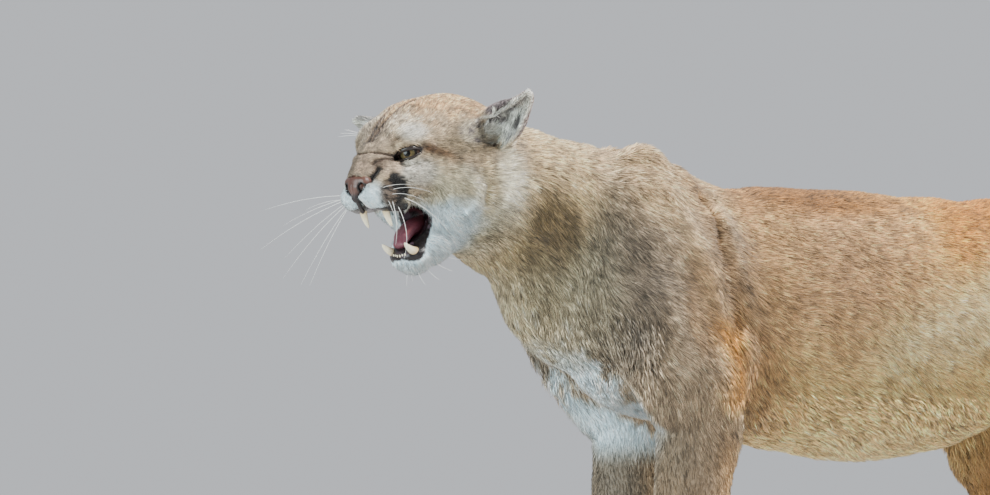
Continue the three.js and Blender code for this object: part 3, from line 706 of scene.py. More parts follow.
# Folds of a snarl, as raised and sunk strokes on one side of the head: points, width, height
BRIDGE_CREASE = [(-98, 0, 10), (-90, 14, 11), (-76, 22, 8), (-66, 21, 7)]
NOSE_CREASE = [(-98, 14, -1), (-93, 17, 3), (-84, 20, 5), (-70, 24, 2)]
WING_CREASE = [(-95, 19, -7), (-96, 18, -10), (-101, 16, -15), (-105, 15, -19)]
MIDLINE_CREASE = [(-83, 2, 25), (-62, 4, 44), (-38, 6, 59), (-12, 7, 68)]
FOLDS = [
    (BRIDGE_CREASE, 2.6, -3.0),
    ([(-104, 0, 2), (-97, 11, 5), (-86, 18, 6), (-74, 23, 4)], 3.4, 2.4),
    (NOSE_CREASE, 2.2, -2.2),
    (WING_CREASE, 2.8, -3.6),
    ([(-104, 0, -9), (-104, 10, -11), (-101, 13, -10)], 3.0, 1.6),
    ([(-92, 25, -12), (-97, 24, -18), (-104, 21, -24)], 3.6, 2.0),
    ([(-86, 0, 18), (-80, 12, 18), (-70, 20, 16)], 4.5, 1.8),
    (MIDLINE_CREASE, 3.2, -2.6),
    ([(-66, 20, 15), (-56, 32, 22), (-44, 43, 21), (-34, 49, 16)], 3.2, 3.2),
    ([(-61, 18, 33), (-70, 27, 25)], 3.0, -1.8),
    ([(-66, 28, -3), (-55, 38, -5), (-42, 44, -1)], 2.4, -1.4),
    ([(-72, 28, -12), (-56, 38, -14), (-40, 46, -10)], 4.0, 1.6),
    (CHEEK_FRINGE, 5.0, 2.8),
    ([(12, 64, -8), (26, 70, -30), (26, 66, -50)], 5.0, -2.4),
    ([(34, 66, 20), (48, 66, 16), (60, 74, 14)], 4.0, -3.0),
]
PHILTRUM = ([(-122, 0, -34), (-121, 0, -44), (-116, 0, -54)], 2.0, -3.0)
BODY_FOLDS = [
    ([(10, 70, 650), (14, 105, 600), (26, 116, 552), (38, 108, 507)], 10, -9),
    ([(-46, 90, 655), (-30, 106, 625), (-16, 116, 585), (-2, 122, 545), (6, 124, 515)], 13, 5),
    ([(-156, 72, 600), (-160, 66, 560)], 18, -4),
    ([(-104, 90, 461), (-82, 117, 461), (-66, 125, 463)], 4.5, -3),
    ([(-63, 91, 406), (-68, 102, 416)], 5, -3),
    ([(60, 106, 480), (90, 122, 450), (150, 124, 420)], 15, 3),
    ([(470, 92, 560), (490, 98, 500), (500, 100, 440)], 18, -5),
]
EAR_FOLD = [(0.12, 29, 0), (0.32, 19, 0), (0.42, 13, 0), (0.6, 8, 0), (0.83, 4, 0), (1.0, 1, 0)]


def in_cup(at):
    """1 in the hollow of an ear"""
    return 1 - ease(at.cup, 1.2, 3.0)


def ear_fold(at):
    """How far points of an ear lie in front of the fold that runs up it, in millimetres"""
    line = np.array(EAR_FOLD)
    return at.ear_at[:, 1] * at.ear_side - np.interp(at.ear_at[:, 0], line[:, 0], line[:, 1])


def relief(at):
    """How far folds stand above the plain form"""
    height = np.zeros(len(at.p))
    near = (at.h[:, 0] < 50) & (at.head > 0.01)
    q = folded(at.h[near])
    for points, width, amount in FOLDS + [PHILTRUM]:
        height[near] += amount * stroke(q, points, width)
    body = (at.head < 0.99) & (at.z > 300)
    q = folded(at.p[body])
    for points, width, amount in BODY_FOLDS:
        height[body] += amount * stroke(q, points, width)
    height -= 4.5 * at.head * (1 - ease(nose_distance(at), 0.8, 1.05))
    fold = ear_fold(at)
    height += at.ear * (2.2 * bell(fold, 0, 2.2) - 1.2 * ease(fold, 1, 5))
    return height


# The skin: a coarse level for the body and a fine one for the head, joined round the neck
NECK_PLANE_AT = np.array([-222.0, -4.0, 651.0])
NECK_PLANE_WAY = unit((-0.95, -0.12, 0.26))
BODY_CELL = 5.7
HEAD_CELL = 2.35
NECK_GAP = 6


def split_quads(points, quads):
    """Triangles, each quad cut along its shorter diagonal"""
    a, b, c, d = (points[quads[:, i]] for i in range(4))
    short = np.linalg.norm(a - c, axis=1) < np.linalg.norm(b - d, axis=1)
    first = np.where(short[:, None], quads[:, [0, 1, 2]], quads[:, [0, 1, 3]])
    second = np.where(short[:, None], quads[:, [0, 2, 3]], quads[:, [1, 2, 3]])
    return np.concatenate([first, second])


def kept_faces(points, quads, keep):
    """The largest joined set of the quads whose corners are all kept, with its own points"""
    quads = quads[keep[quads].all(1)]
    label = np.arange(len(points))
    while True:
        low = label[quads].min(1)
        fresh = label.copy()
        for i in range(4):
            np.minimum.at(fresh, quads[:, i], low)
        fresh = fresh[fresh]
        if (fresh == label).all():
            break
        label = fresh
    face_label = label[quads[:, 0]]
    values, counts = np.unique(face_label, return_counts=True)
    quads = quads[face_label == values[counts.argmax()]]
    used, flat = np.unique(quads, return_inverse=True)
    return points[used], flat.reshape(quads.shape)


def rim(faces):
    """The corners of the longest open edge, in the order in which the faces run past it"""
    a = faces.ravel()
    b = np.roll(faces, -1, axis=1).ravel()
    both = set(zip(a.tolist(), b.tolist()))
    after = {}
    for u, w in both:
        if (w, u) not in both:
            after[u] = w
    best = []
    while after:
        start, w = after.popitem()
        loop = [start]
        while w in after:
            loop.append(w)
            w = after.pop(w)
        if len(loop) > len(best):
            best = loop
    return best


def zipped(points, back, front):
    """Triangles between two rims that run the opposite ways round the neck"""
    front = front[::-1]
    side = unit(np.cross(NECK_PLANE_WAY, (0, 0, 1)))
    up = np.cross(side, NECK_PLANE_WAY)
    centre = points[back].mean(0)

    def turns(loop):
        off = points[loop] - centre
        return np.unwrap(np.arctan2(off @ up, off @ side))

    start = int(np.linalg.norm(points[front] - points[back[0]], axis=1).argmin())
    front = front[start:] + front[:start]
    ta, tb = turns(back + back[:1]), turns(front + front[:1])
    ta, tb = (ta - ta[0]) / (ta[-1] - ta[0]), (tb - tb[0]) / (tb[-1] - tb[0])
    back, front = back + back[:1], front + front[:1]
    i = j = 0
    faces = []
    while i < len(back) - 1 or j < len(front) - 1:
        if j == len(front) - 1 or (i < len(back) - 1 and ta[i + 1] < tb[j + 1]):
            faces.append((back[i + 1], back[i], front[j]))
            i += 1
        else:
            faces.append((back[i], front[j], front[j + 1]))
            j += 1
    return np.array(faces)


def neighbours(faces, count):
    edges = np.concatenate([faces[:, [0, 1]], faces[:, [1, 2]], faces[:, [2, 0]]])
    edges = np.unique(np.sort(edges, axis=1), axis=0)
    return edges, np.bincount(edges.ravel(), minlength=count)


def smoothed(values, edges, degree, rounds=1):
    """Each value moved to the middle of its neighbours'"""
    for _ in range(rounds):
        total = np.zeros_like(values)
        for c in range(values.shape[1]):
            total[:, c] = np.bincount(edges[:, 0], values[edges[:, 1], c], len(values))
            total[:, c] += np.bincount(edges[:, 1], values[edges[:, 0], c], len(values))
        values = total / np.maximum(1, degree)[:, None]
    return values


def make_skin(level):
    body, body_quads = surface(level, (-330, -175, -20), (1080, 175, 780), BODY_CELL, rounds=1)
    head, head_quads = surface(level, (-470, -175, 520), (-185, 150, 790), HEAD_CELL, rounds=1)
    along = (body - NECK_PLANE_AT) @ NECK_PLANE_WAY
    body, body_quads = kept_faces(body, body_quads, along < -NECK_GAP / 2)
    along = (head - NECK_PLANE_AT) @ NECK_PLANE_WAY
    head, head_quads = kept_faces(head, head_quads, along > NECK_GAP / 2)
    points = np.concatenate([body, head])
    front = (np.array(rim(head_quads)) + len(body)).tolist()
    bridge = zipped(points, rim(body_quads), front)
    faces = np.concatenate(
        [split_quads(body, body_quads), split_quads(head, head_quads) + len(body), bridge]
    )
    edges, degree = neighbours(faces, len(points))
    spread = smoothed(points, edges, degree)
    points = points + 0.6 * (spread - points)
    g = in_chunks(level.slope, points)
    steep = np.maximum(0.04, np.einsum("ij,ij->i", g, g))
    step = np.clip(in_chunks(level.distance, points) / steep, -2, 2)
    return points - step[:, None] * g, faces, unit(g)


def make_mesh(name, points, faces):
    """A piece from points of the sculpt and triangles"""
    mesh = bpy.data.meshes.new(name)
    mesh.vertices.add(len(points))
    mesh.vertices.foreach_set("co", to_frame(points).astype(np.float32).ravel())
    mesh.loops.add(faces.size)
    mesh.loops.foreach_set("vertex_index", faces.astype(np.int32).ravel())
    mesh.polygons.add(len(faces))
    mesh.polygons.foreach_set("loop_start", np.arange(0, faces.size, faces.shape[1], dtype=np.int32))
    mesh.update(calc_edges=True)
    mesh.validate()
    mesh.polygons.foreach_set("use_smooth", np.ones(len(faces), bool))
    piece = bpy.data.objects.new(name, mesh)
    bpy.context.scene.collection.objects.link(piece)
    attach(piece, "root")
    return piece


def linear(colour):
    """Display values from 0 to 255 as linear light"""
    c = np.clip(np.asarray(colour, float) / 255, 0, 1)
    return np.where(c <= 0.04045, c / 12.92, ((c + 0.055) / 1.055) ** 2.4)


def paint(piece, name, colours):
    """One colour for each vertex, given as display values"""
    layer = piece.data.color_attributes.new(name, "FLOAT_COLOR", "POINT")
    flat = np.ones((len(colours), 4), np.float32)
    flat[:, :3] = linear(colours)
    layer.data.foreach_set("color", flat.ravel())


def weigh(piece, name, values):
    """One number for each vertex"""
    layer = piece.data.attributes.new(name, "FLOAT", "POINT")
    layer.data.foreach_set("value", values.astype(np.float32))


def painted_piece(name, points, faces, layer, colours, material):
    """A piece with one layer of colour and one material"""
    piece = make_mesh(name, points, faces)
    paint(piece, layer, colours)
    piece.data.materials.append(material)
    return piece


# Colours of the coat, as display values that the skin and the tufts share; some of them are painted
# highlights and some painted shade
GREY_TAWNY = (198, 175, 146)
NECK_TAN = (232, 206, 158)
SHOULDER_TAWNY_HIGHLIGHT = (212, 182, 142)
FLANK_TAWNY = (202, 161, 114)
FLANK_PALE = (202, 162, 114)
BACK_BROWN = (140, 96, 50)
RUMP_ORANGE = (188, 120, 44)
RUMP_PALE_HIGHLIGHT = (255, 226, 172)
RUMP_GOLD = (228, 174, 100)
BELLY_GOLD = (248, 208, 138)
BELLY_CREAM = (248, 214, 154)
ORANGE_TUFT = (218, 146, 56)
HIND_BROWN_AND_SHADE = (146, 106, 60)
SHADE_GREY = (104, 102, 96)
GRIZZLE = (126, 117, 104)
NECK_DARK_AND_SHADE = (98, 84, 58)
LEG_TAN = (152, 130, 104)
CREAM_WHITE = (240, 236, 222)
COOL_WHITE = (228, 247, 255)
CHEEK_CREAM = (206, 196, 168)
RUFF_CREAM = (240, 230, 204)
FACE_TAN = (188, 168, 140)
TEMPLE_GREY = (128, 114, 90)
CROWN_BROWN = (204, 166, 124)
CROWN_PALE = (222, 208, 188)
BRIDGE_BROWN = (168, 148, 126)
BRIDGE_DARK = (104, 88, 76)
EYE_GREY = (200, 208, 210)
BROW_GREY = (218, 214, 204)
MUZZLE_BLACK = (10, 8, 8)
EAR_BLACK = (84, 78, 82)
EAR_MAUVE = (124, 112, 114)
EAR_TAN = (150, 138, 122)
EAR_HAIR = (222, 224, 214)
TAIL_BLACK = (48, 36, 28)
LIP_BLACK = (24, 20, 22)
LIP_MAUVE = (104, 84, 98)
GUM_MAUVE = (150, 118, 124)
MOUTH_PINK = (146, 84, 92)
THROAT_SHADE = (44, 18, 22)
DARK_LINE = (48, 34, 28)
STREAK_BROWN = (122, 92, 66)
NOSE_ROSE = (88, 56, 46)
NOSE_HIGHLIGHT = (150, 116, 108)
NOSE_STEM = (30, 22, 24)
NOSE_EDGE = (28, 22, 26)
NOSTRIL_BLACK = (14, 10, 11)
TONGUE_PINK = (108, 58, 70)
TONGUE_HIGHLIGHT = (176, 112, 112)
TONGUE_SIDE = (78, 40, 48)
TONGUE_ROOT_SHADE = (84, 36, 42)
IRIS_OLIVE = (66, 60, 40)
IRIS_BROWN = (90, 74, 46)
IRIS_EDGE = (22, 18, 14)
EYE_BROWN = (54, 40, 34)
PUPIL_BLACK = (6, 6, 7)
LID_BLACK = (36, 28, 26)
WHISKER_WHITE = (244, 244, 240)
CLAW_HORN = (196, 182, 158)
IVORY_TIP = (236, 226, 196)
IVORY_ROOT = (196, 164, 112)
# Thin lines of the face, some of them marks of the coat and some painted shade in its creases: colour, width,
# strength and points
FACE_LINES = [
    # Painted shade in the sunk crease up the middle of the forehead
    (DARK_LINE, 2.8, 0.9, MIDLINE_CREASE),
    # Painted shade in a sunk crease of the brow
    (DARK_LINE, 3.2, 0.6, [(-61, 17, 35), (-66, 23, 30), (-70, 27, 25)]),
    (DARK_LINE, 3.0, 0.45, [(-73, 20, 28), (-75, 24, 20)]),
    (DARK_LINE, 3.4, 0.85, [(-44, 44, 17), (-33, 49, 13)]),
    (STREAK_BROWN, 5, 0.85, [(-40, 46, 15), (-22, 54, 8), (-6, 60, -2)]),
    (DARK_LINE, 3.2, 0.95, [(-72, 20, 9), (-63, 19, 4), (-64, 26, 0)]),
    (DARK_LINE, 2.2, 0.8, [(-66, 22, 14), (-55, 34, 20), (-44, 43, 19)]),
    # Painted shade in the sunk creases of the snarl across the bridge and beside the nose
    (DARK_LINE, 1.7, 0.9, BRIDGE_CREASE),
    (DARK_LINE, 1.9, 0.6, NOSE_CREASE),
    (EYE_GREY, 2.2, 0.8, [(-106, 0, -8), (-107, 10, -12), (-101, 14, -13)]),
]


def mix(base, goal, weight):
    """Colours or ways led towards a goal, each by its own weight"""
    return base + (np.array(goal, float) - base) * weight[:, None]


def plain(value, count):
    """The same colour or way for each of a number of points"""
    return np.tile(np.array(value, float), (count, 1))


def markings(p, at=None):
    """The colour of the coat at points of the sculpt, with painted highlights and painted shade laid into it
    """
    at = Place(p) if at is None else at
    x, z = at.x, at.z
    side = p * [1, 0, 1]
    wide = noise(p, 60, 3) - 0.5
    c = plain(GREY_TAWNY, len(p))
    c = mix(c, NECK_TAN, at.neck * (1 - ease(x, -150, -100)))
    # Tawny coat, lighter over the tops of the shoulders: partly a painted highlight of light from above
    c = mix(c, SHOULDER_TAWNY_HIGHLIGHT, ease(z + 40 * wide, 590, 650) * ease(x, -110, -60))
    # A painted highlight along the ridge of the shoulder blade
    scapula_highlight = stroke(side, [(-70, 0, 650), (-34, 0, 620), (-14, 0, 578), (2, 0, 535)], 20)
    c = mix(c, SHOULDER_TAWNY_HIGHLIGHT, scapula_highlight * 0.8)
    # Grizzled grey on the upper arm: partly the coat's own and partly painted shade
    c = mix(c, GRIZZLE, spot(side, (-114, 0, 545), (50, 1, 96)) * 0.72)
    c = mix(c, BACK_BROWN, spot(side, (-20, 0, 530), (24, 1, 60)) * 0.3)
    c = mix(c, FLANK_TAWNY, ease(x + 50 * wide, 20, 80))
    c = mix(c, FLANK_PALE, spot(side, (100, 0, 590), (60, 1, 70)) * 0.8)
    c = mix(c, BACK_BROWN, ease(x, 20, 140) * ease(z - 0.02 * x + 20 * wide, 622, 654) * 0.9)
    # Painted shade: a brown streak down the crease behind the shoulder
    crease_shade = stroke(side, [(6, 0, 668), (8, 0, 625), (14, 0, 590), (24, 0, 555), (38, 0, 515)], 20)
    c = mix(c, BACK_BROWN, crease_shade * 0.4)
    c = mix(c, RUMP_GOLD, ease(x + 80 * wide, 200, 400) * (1 - 0.5 * ease(x, 450, 600)))
    c = mix(c, RUMP_ORANGE, ease(x + 60 * wide, 300, 420) * ease(z + 60 * wide, 560, 630) * 0.85)
    # Pale fur on the lower rump and groin, brightened to the top of the range as a painted highlight of
    # sunlight
    groin_highlight = stroke(side, [(270, 0, 470), (340, 0, 508), (400, 0, 530), (430, 0, 560)], 52)
    c = mix(c, RUMP_PALE_HIGHLIGHT, np.clip(groin_highlight * 1.2, 0, 1) * (0.9 + 0.4 * wide))
    low = ease(x, 60, 160) * (1 - ease(z + 60 * wide, 430, 545)) * (1 - ease(x, 560, 640))
    c = mix(c, BELLY_GOLD, low * 0.85)
    armpit = stroke(side + 24 * wide[:, None], [(16, 0, 500), (30, 0, 470), (34, 0, 440)], 22)
    c = mix(c, ORANGE_TUFT, armpit * 0.75)
    c = mix(c, LEG_TAN, at.leg * (1 - 0.6 * at.hindleg))
    c = mix(c, GRIZZLE, at.foreleg * bell(z, 385, 45) * (1 - ease(x, -30, 10)) * 0.45)
    c = mix(c, FLANK_PALE, at.foreleg * ease(x, -5, 25) * 0.8)
    # Brown on the upper hind legs: partly the coat's own and partly painted shade
    c = mix(c, HIND_BROWN_AND_SHADE, at.hindleg * 0.8 * ease(z, 180, 380))
    inner = at.foreleg * (1 - ease(np.abs(at.y), 62, 88))
    c = mix(c, CREAM_WHITE, inner * 0.15)
    c = mix(c, SHADE_GREY, at.foreleg * ease(at.y, 20, 60) * (1 - ease(z, 400, 450)) * 0.4)
    c = mix(c, FACE_TAN, at.paw * 0.6)
    c = mix(c, BELLY_CREAM, at.belly * (1 - ease(z + 60 * wide, 350, 450)) * 0.8)
    # A dark patch on the neck: partly the coat's own and partly painted shadow, stronger on the near side
    c = mix(c, NECK_DARK_AND_SHADE, at.neck * spot(side, (-182, 0, 600), (36, 1, 62)) * np.where(at.y < 0, 0.6, 0.3))
    # Tawny coat, lighter along the top of the neck: partly a painted highlight of light from above
    c = mix(c, SHOULDER_TAWNY_HIGHLIGHT, at.neck * ease(z, 640, 690) * 0.6)
    streaky = noise(p * [1, 1, 0.3], 9, 41) - 0.5
    bound = -66 + 2.2 * np.maximum(430 - z, 0) - np.maximum(z - 430, 0)
    front = (1 - ease(x + 30 * streaky - bound, -14, 14)) * (1 - ease(z + 70 * streaky, 440, 520))
    front *= ease(z, 345, 390)
    front *= 1 - ease(np.abs(at.y - 16) + 0.4 * (z - 430) + 34 * streaky, 66, 106)
    c = mix(c, COOL_WHITE, np.clip(front * 1.2, 0, 1) * (1 - at.foreleg * ease(np.abs(at.y - 16), 60, 86)))
    throat = (1 - ease(z - 0.35 * (x + 200), 540, 612)) * at.neck * (1 - ease(x, -150, -100))
    c = mix(c, CHEEK_CREAM, throat * 0.6)
    c = mix(c, GREY_TAWNY, at.tail * 0.55)
    c = mix(c, TAIL_BLACK, np.clip(ease(x, 930, 990) * at.tail, 0, 1))
    return ear_markings(p, at, head_markings(p, at, c))


def head_markings(p, at, c):
    """The marks of the face, with painted shade along its creases, laid over the colours c"""
    h = folded(at.h)
    hx, hy, hz = h.T
    w = at.head
    patchy = noise(p * [1, 1, 0.7], 7, 12) - 0.5
    c = mix(c, FACE_TAN, w)
    c = mix(c, CROWN_PALE, w * ease(hz, 24, 40) * (1 - ease(hx + 20 * patchy, -46, -14)) * 0.45)
    c = mix(c, CROWN_BROWN, w * ease(hz + 20 * patchy, 42, 62) * ease(hx, -60, -20))
    c = mix(c, CROWN_BROWN, w * (1 - ease(hy, 3, 12)) * ease(hz, 20, 40) * 0.7)
    c = mix(c, TEMPLE_GREY, w * spot(h, (16, 62, 22), (30, 18, 24)) * 0.75)
    c = mix(c, TEMPLE_GREY, w * spot(h, (-8, 58, 14), (22, 14, 16)) * 0.5)
    c = mix(c, CHEEK_CREAM, w * (1 - ease(hz + 10 * patchy, -30, 0)) * ease(hx, -60, -20))
    c = mix(c, COOL_WHITE, w * (1 - ease(hz + 12 * patchy, -58, -34)) * (1 - ease(hx, 14, 50)))
    c = mix(c, RUFF_CREAM, w * spot(h, (58, 80, -22), (20, 22, 36)) * 0.9)
    c = mix(c, RUFF_CREAM, w * stroke(h, CHEEK_FRINGE[:3], 6) * 0.8)
    c = mix(c, NECK_TAN, w * stroke(h, [(26, 70, -6), (34, 74, -30), (32, 68, -56)], 9) * 0.6)
    # A dark band on the neck below the cheek ruff: partly painted shade
    c = mix(c, NECK_DARK_AND_SHADE, w * stroke(h, [(40, 44, -88), (59, 56, -86), (78, 68, -80)], 9) * 0.5)
    c = mix(c, EYE_GREY, w * spot(h, (-54, 38, -12), (28, 22, 18)) * 0.5)
    c = mix(c, BROW_GREY, w * spot(h, (-48, 32, 31), (21, 14, 12)) * 0.95)
    c = mix(c, BROW_GREY, w * spot(h, (-73, 14, 30), (8, 7, 12)) * 0.75)
    c = mix(c, BRIDGE_BROWN, w * (1 - ease(hy + 6 * patchy, 16, 28)) * (1 - ease(hx, -72, -56)) * 0.9)
    c = mix(c, BRIDGE_BROWN, w * spot(h, (-82, 25, -6), (16, 12, 12)) * 0.9)
    c = mix(c, BRIDGE_DARK, w * spot(h, (-92, 18, -4), (9, 7, 8)) * 0.7)
    c = mix(c, BRIDGE_DARK, w * (1 - ease(hx, -104, -97)) * (1 - ease(hy, 8, 16)) * ease(hz, -16, -8) * 0.5)
    for colour, width, strength, points in FACE_LINES:
        c = mix(c, colour, w * stroke(h, points, width) * strength)
    c = mix(c, COOL_WHITE, w * spot(h, (-106, 17, -40), (20, 20, 19)))
    # Painted shade: black in the sunk crease behind the wing of the nose
    c = mix(c, MUZZLE_BLACK, w * np.clip(stroke(h, WING_CREASE, 3.0) * 1.4, 0, 1) * 0.95)
    ragged = 0.7 * (noise(h * [1, 1, 2.4], 4.5, 11) - 0.5)
    dark = stroke(h, [(-83, 32, -19), (-77, 35, -27), (-75, 35, -38), (-80, 33, -49)], 8.5) + ragged
    c = mix(c, BRIDGE_DARK, w * spot(h, (-92, 32, -34), (15, 10, 15)) * 0.9)
    c = mix(c, MUZZLE_BLACK, w * spot(h, (-92, 32, -36), (13, 10, 14)) * ease(ragged, 0.0, 0.14))
    c = mix(c, MUZZLE_BLACK, w * np.clip(dark * 2.5 - 0.6, 0, 1))
    for level in (-28, -34, -40):
        row = stroke(h, [(-101, 26, level - 2), (-84, 33, level)], 1.5)
        c = mix(c, MUZZLE_BLACK, w * row * 0.8)
    c = mix(c, CHEEK_CREAM, w * spot(h, (-66, 36, -46), (12, 12, 9)) * 0.6)
    return mix(c, COOL_WHITE, at.jaw)


def ear_markings(p, at, c):
    """Pale rims, dark backs, and pale hair with dark roots inside"""
    ex, ey = at.ear_at[:, 0], at.ear_at[:, 1] * at.ear_side
    inside = in_cup(at)
    fold = ear_fold(at)
    c = mix(c, EAR_MAUVE, at.ear * (1 - inside) * ease(ex, 0.1, 0.4) * 0.8)
    c = mix(c, EAR_HAIR, inside)
    c = mix(c, EAR_TAN, inside * ease(ex, 0.5, 0.75) * 0.5)
    patchy = np.clip((noise(p * [1, 1, 0.5], 4, 13) - 0.52) * 3.4, 0, 1)
    c = mix(c, EAR_BLACK, inside * patchy * (1 - ease(ex, 0.55, 0.75)) * 0.75)
    low = spot(np.stack([ex, ey / 50, 0 * ex], 1), (0.4, -0.2, 0), (0.12, 0.08, 1))
    c = mix(c, LIP_BLACK, inside * low * 0.7)
    c = mix(c, EAR_MAUVE, at.ear * ease(fold, 1.5, 4) * 0.9)
    c = mix(c, EAR_BLACK, inside * bell(fold, -5, 2.2) * ease(ex, 0.05, 0.2) * 0.6)
    edge = bell(fold, -0.4, 1.8) + bell(at.cup, 3.4, 1.6) * (1 - ease(ey, -8, 4)) + ease(ex, 0.92, 1.0)
    c = mix(c, CREAM_WHITE, np.clip(at.ear * edge * ease(ex, 0.05, 0.3), 0, 1) * 0.9)
    c = mix(c, CREAM_WHITE, at.ear * (at.h[:, 1] > 0) * ease(ex, 0.4, 0.8) * 0.55)
    h = folded(at.h)
    flecks = np.clip((noise(p, 3.4, 14) - 0.5) * 4, 0, 1)
    front = spot(h, (22, 62, 30), (22, 12, 16)) * at.head * (1 - inside)
    c = mix(c, CREAM_WHITE, front * 0.45)
    c = mix(c, EAR_BLACK, front * flecks * 0.9)
    c = mix(c, EAR_HAIR, at.head * spot(h, (57, 60, 25), (15, 13, 10)) * (1 - 0.6 * flecks))
    return mix(c, DARK_LINE, at.head * stroke(h, [(44, 58, 17), (55, 57, 15), (62, 66, 12)], 2.4) * 0.7)


def bareness(p, at=None):
    """1 where the skin is bare: the mouth, its lips and the lids"""
    at = Place(p) if at is None else at
    hollow = mouth_distance(p)
    lip = lip_width(p) + 1.6 * (noise(p, 3, 15) - 0.5)
    bare = 1 - ease(hollow - lip, -0.9, 0.9)
    for s in (-1, 1):
        e = local(eye_frame(s), p)
        lid = 1 - ease(np.hypot(e[:, 1] / 18, e[:, 2] / 7.8), 0.85, 1.1)
        bare = np.maximum(bare, lid * ease(e[:, 0], 2, 6))
    bare = np.maximum(bare, 1 - ease(nose_distance(at), 0.9, 1.12))
    hx, hy, hz = at.h.T
    cleft = (1 - ease(np.abs(hy), 1.5, 3)) * (1 - ease(hz, -40, -36)) * ease(hz, -66, -62)
    bare = np.maximum(bare, cleft * (1 - ease(hx, -98, -92)))
    return bare * at.head


def bare_colour(p, at):
    """Black lips and lids, and a pink mouth with painted shade that darkens it towards the throat"""
    c = plain(LIP_BLACK, len(p))
    hollow = mouth_distance(p)
    m = local(MID, p)
    inside = 1 - ease(hollow + 3 * (noise(p, 6, 5) - 0.5), -2.0, 0.4)
    inside *= 1 - ease(np.abs(m[:, 1]) + 4 * noise(p, 5, 16), 24, 31)
    deep = ease(m[:, 0], -92, -66)
    c = mix(c, MOUTH_PINK, inside * 0.85)
    mottled = ease(noise(p, 5, 17), 0.55, 0.75) * (1 - ease(hollow, 4, 8))
    c = mix(c, LIP_MAUVE, mottled * (1 - inside) * 0.7)
    gum = (1 - ease(m[:, 0], -92, -84)) * (1 - ease(np.abs(m[:, 1]), 10, 14)) * (1 - ease(m[:, 2], -40, -30))
    c = mix(c, GUM_MAUVE, gum * (1 - ease(hollow, 1.5, 3.5)) * 0.85)
    # Painted shade: the mouth darker the deeper it goes
    c = mix(c, THROAT_SHADE, inside * deep * 0.85)
    under_pad = (1 - ease(nose_distance(at), 0.9, 1.0)) * ease(at.h[:, 2], -30, -24)
    return mix(c, NOSE_ROSE, under_pad)


def skin_colour(p):
    """The skin's colour, which under the coat is the coat's own, and how bare it is"""
    at = Place(p)
    bare = bareness(p, at)
    c = markings(p, at) * (0.86 + 0.1 * noise(p, 3, 4))[:, None]
    return c + (bare_colour(p, at) - c) * bare[:, None], bare


# The lie of the coat
def lie(p, at):
    """The way the hair points, before it is laid along the skin"""
    way = plain((0.9, 0, -0.42), len(p))
    shoulder = (1 - ease(at.x, 60, 150)) * (1 - at.neck)
    way = mix(way, (0.72, 0, -0.62), shoulder * ease(at.z, 420, 560))
    way = mix(way, (0.35, 0, -0.95), shoulder * (1 - ease(at.z, 420, 560)))
    way = mix(way, (0.66, 0, -0.72), at.neck)
    way = mix(way, (0.95, 0, -0.3), at.neck * ease(at.z, 655, 700))
    way = mix(way, (0.85, 0, -0.6), at.belly)
    way = mix(way, (0.12, 0, -1), at.chest)
    way = mix(way, (0.66, 0, -0.75), ease(at.x, 520, 640))
    way = mix(way, (0.16, 0, -1), at.leg)
    way = mix(way, (-0.86, 0, -0.35), at.paw)
    path = np.array([s[:3] for s in TAIL], float)
    nearest = np.full(len(p), 1e9)
    tail_way = plain((0, 0, -1), len(p))
    for a, b in zip(path[:-1], path[1:]):
        e = b - a
        t = np.clip((p - a) @ e / e.dot(e), 0, 1)
        d = np.linalg.norm(p - a - t[:, None] * e, axis=1)
        tail_way[d < nearest] = unit(e)
        nearest = np.minimum(nearest, d)
    way = mix(way, tail_way, at.tail)

    # On the head the hair runs back from the nose, up the brow and down the cheeks
    hz = at.h[:, 2]
    side = np.sign(at.h[:, 1])
    back = np.ones(len(p))
    head_way = np.stack([back, side * 0.25, -0.12 - 0.5 * (1 - ease(hz, -50, 10))], 1)
    head_way = mix(head_way, np.stack([back, side * 0.22, back * 0.5], 1), ease(hz, 14, 34))
    head_way = mix(head_way, (0.7, 0, -0.8), at.jaw)
    head_way = mix(head_way, (0.45, 0, -0.95), upper_lip(at, 4))
    way = mix(way, head_way @ HEAD[:3, :3].T, at.head)
    for name, s in SIDES.items():
        m = ear_frame(name)
        way = mix(way, m[:3, 0] + m[:3, 2] * 0.25, at.ear * (s * at.h[:, 1] > 0))
    return way


def coat_length(at):
    """How long the hair is, in millimetres"""
    length = np.full(len(at.p), 11.0)
    length += at.belly * 13 + at.chest * 6
    length += at.neck * 2
    length += spot(at.p * [1, 0, 1], (36, 0, 455), (34, 1, 56)) * 12
    length = stepped(length, (at.tail, 14), (at.leg, 9), (at.paw, 5.5))
    hx, hz = at.h[:, 0], at.h[:, 2]
    face = 5.6 + 7 * ease(hx, 0, 60) * (1 - ease(hz, 0, 40)) + 2 * ease(hx, 20, 70)
    face += 7 * stroke(folded(at.h), CHEEK_FRINGE, 9)
    length = stepped(length, (at.head, face), (at.muzzle, 3.4), (at.jaw, 9.5))
    length += upper_lip(at, 6) * 3
    length = stepped(length, (at.ear, 4))
    return length + at.ear * in_cup(at) * (1 - ease(at.ear_at[:, 0], 0.7, 0.95)) * 7


# Limits of the coat, in millimetres: what counts as long, where the bare soles end,
# how far the skin, a tip and a root stay above the floor, and how deep a root is sunk
LONG_HAIR = 17
SOLE_HEIGHT = 3.5
FLOOR_GAP = 0.3
TIP_GAP = 0.5
ROOT_GAP = 0.2
ROOT_DEPTH = 0.8
# Triangles in a tuft of each kind, and the most in a piece of the coat
SHORT_TUFT = 4
LONG_TUFT = 6
COAT_PIECE = 190000


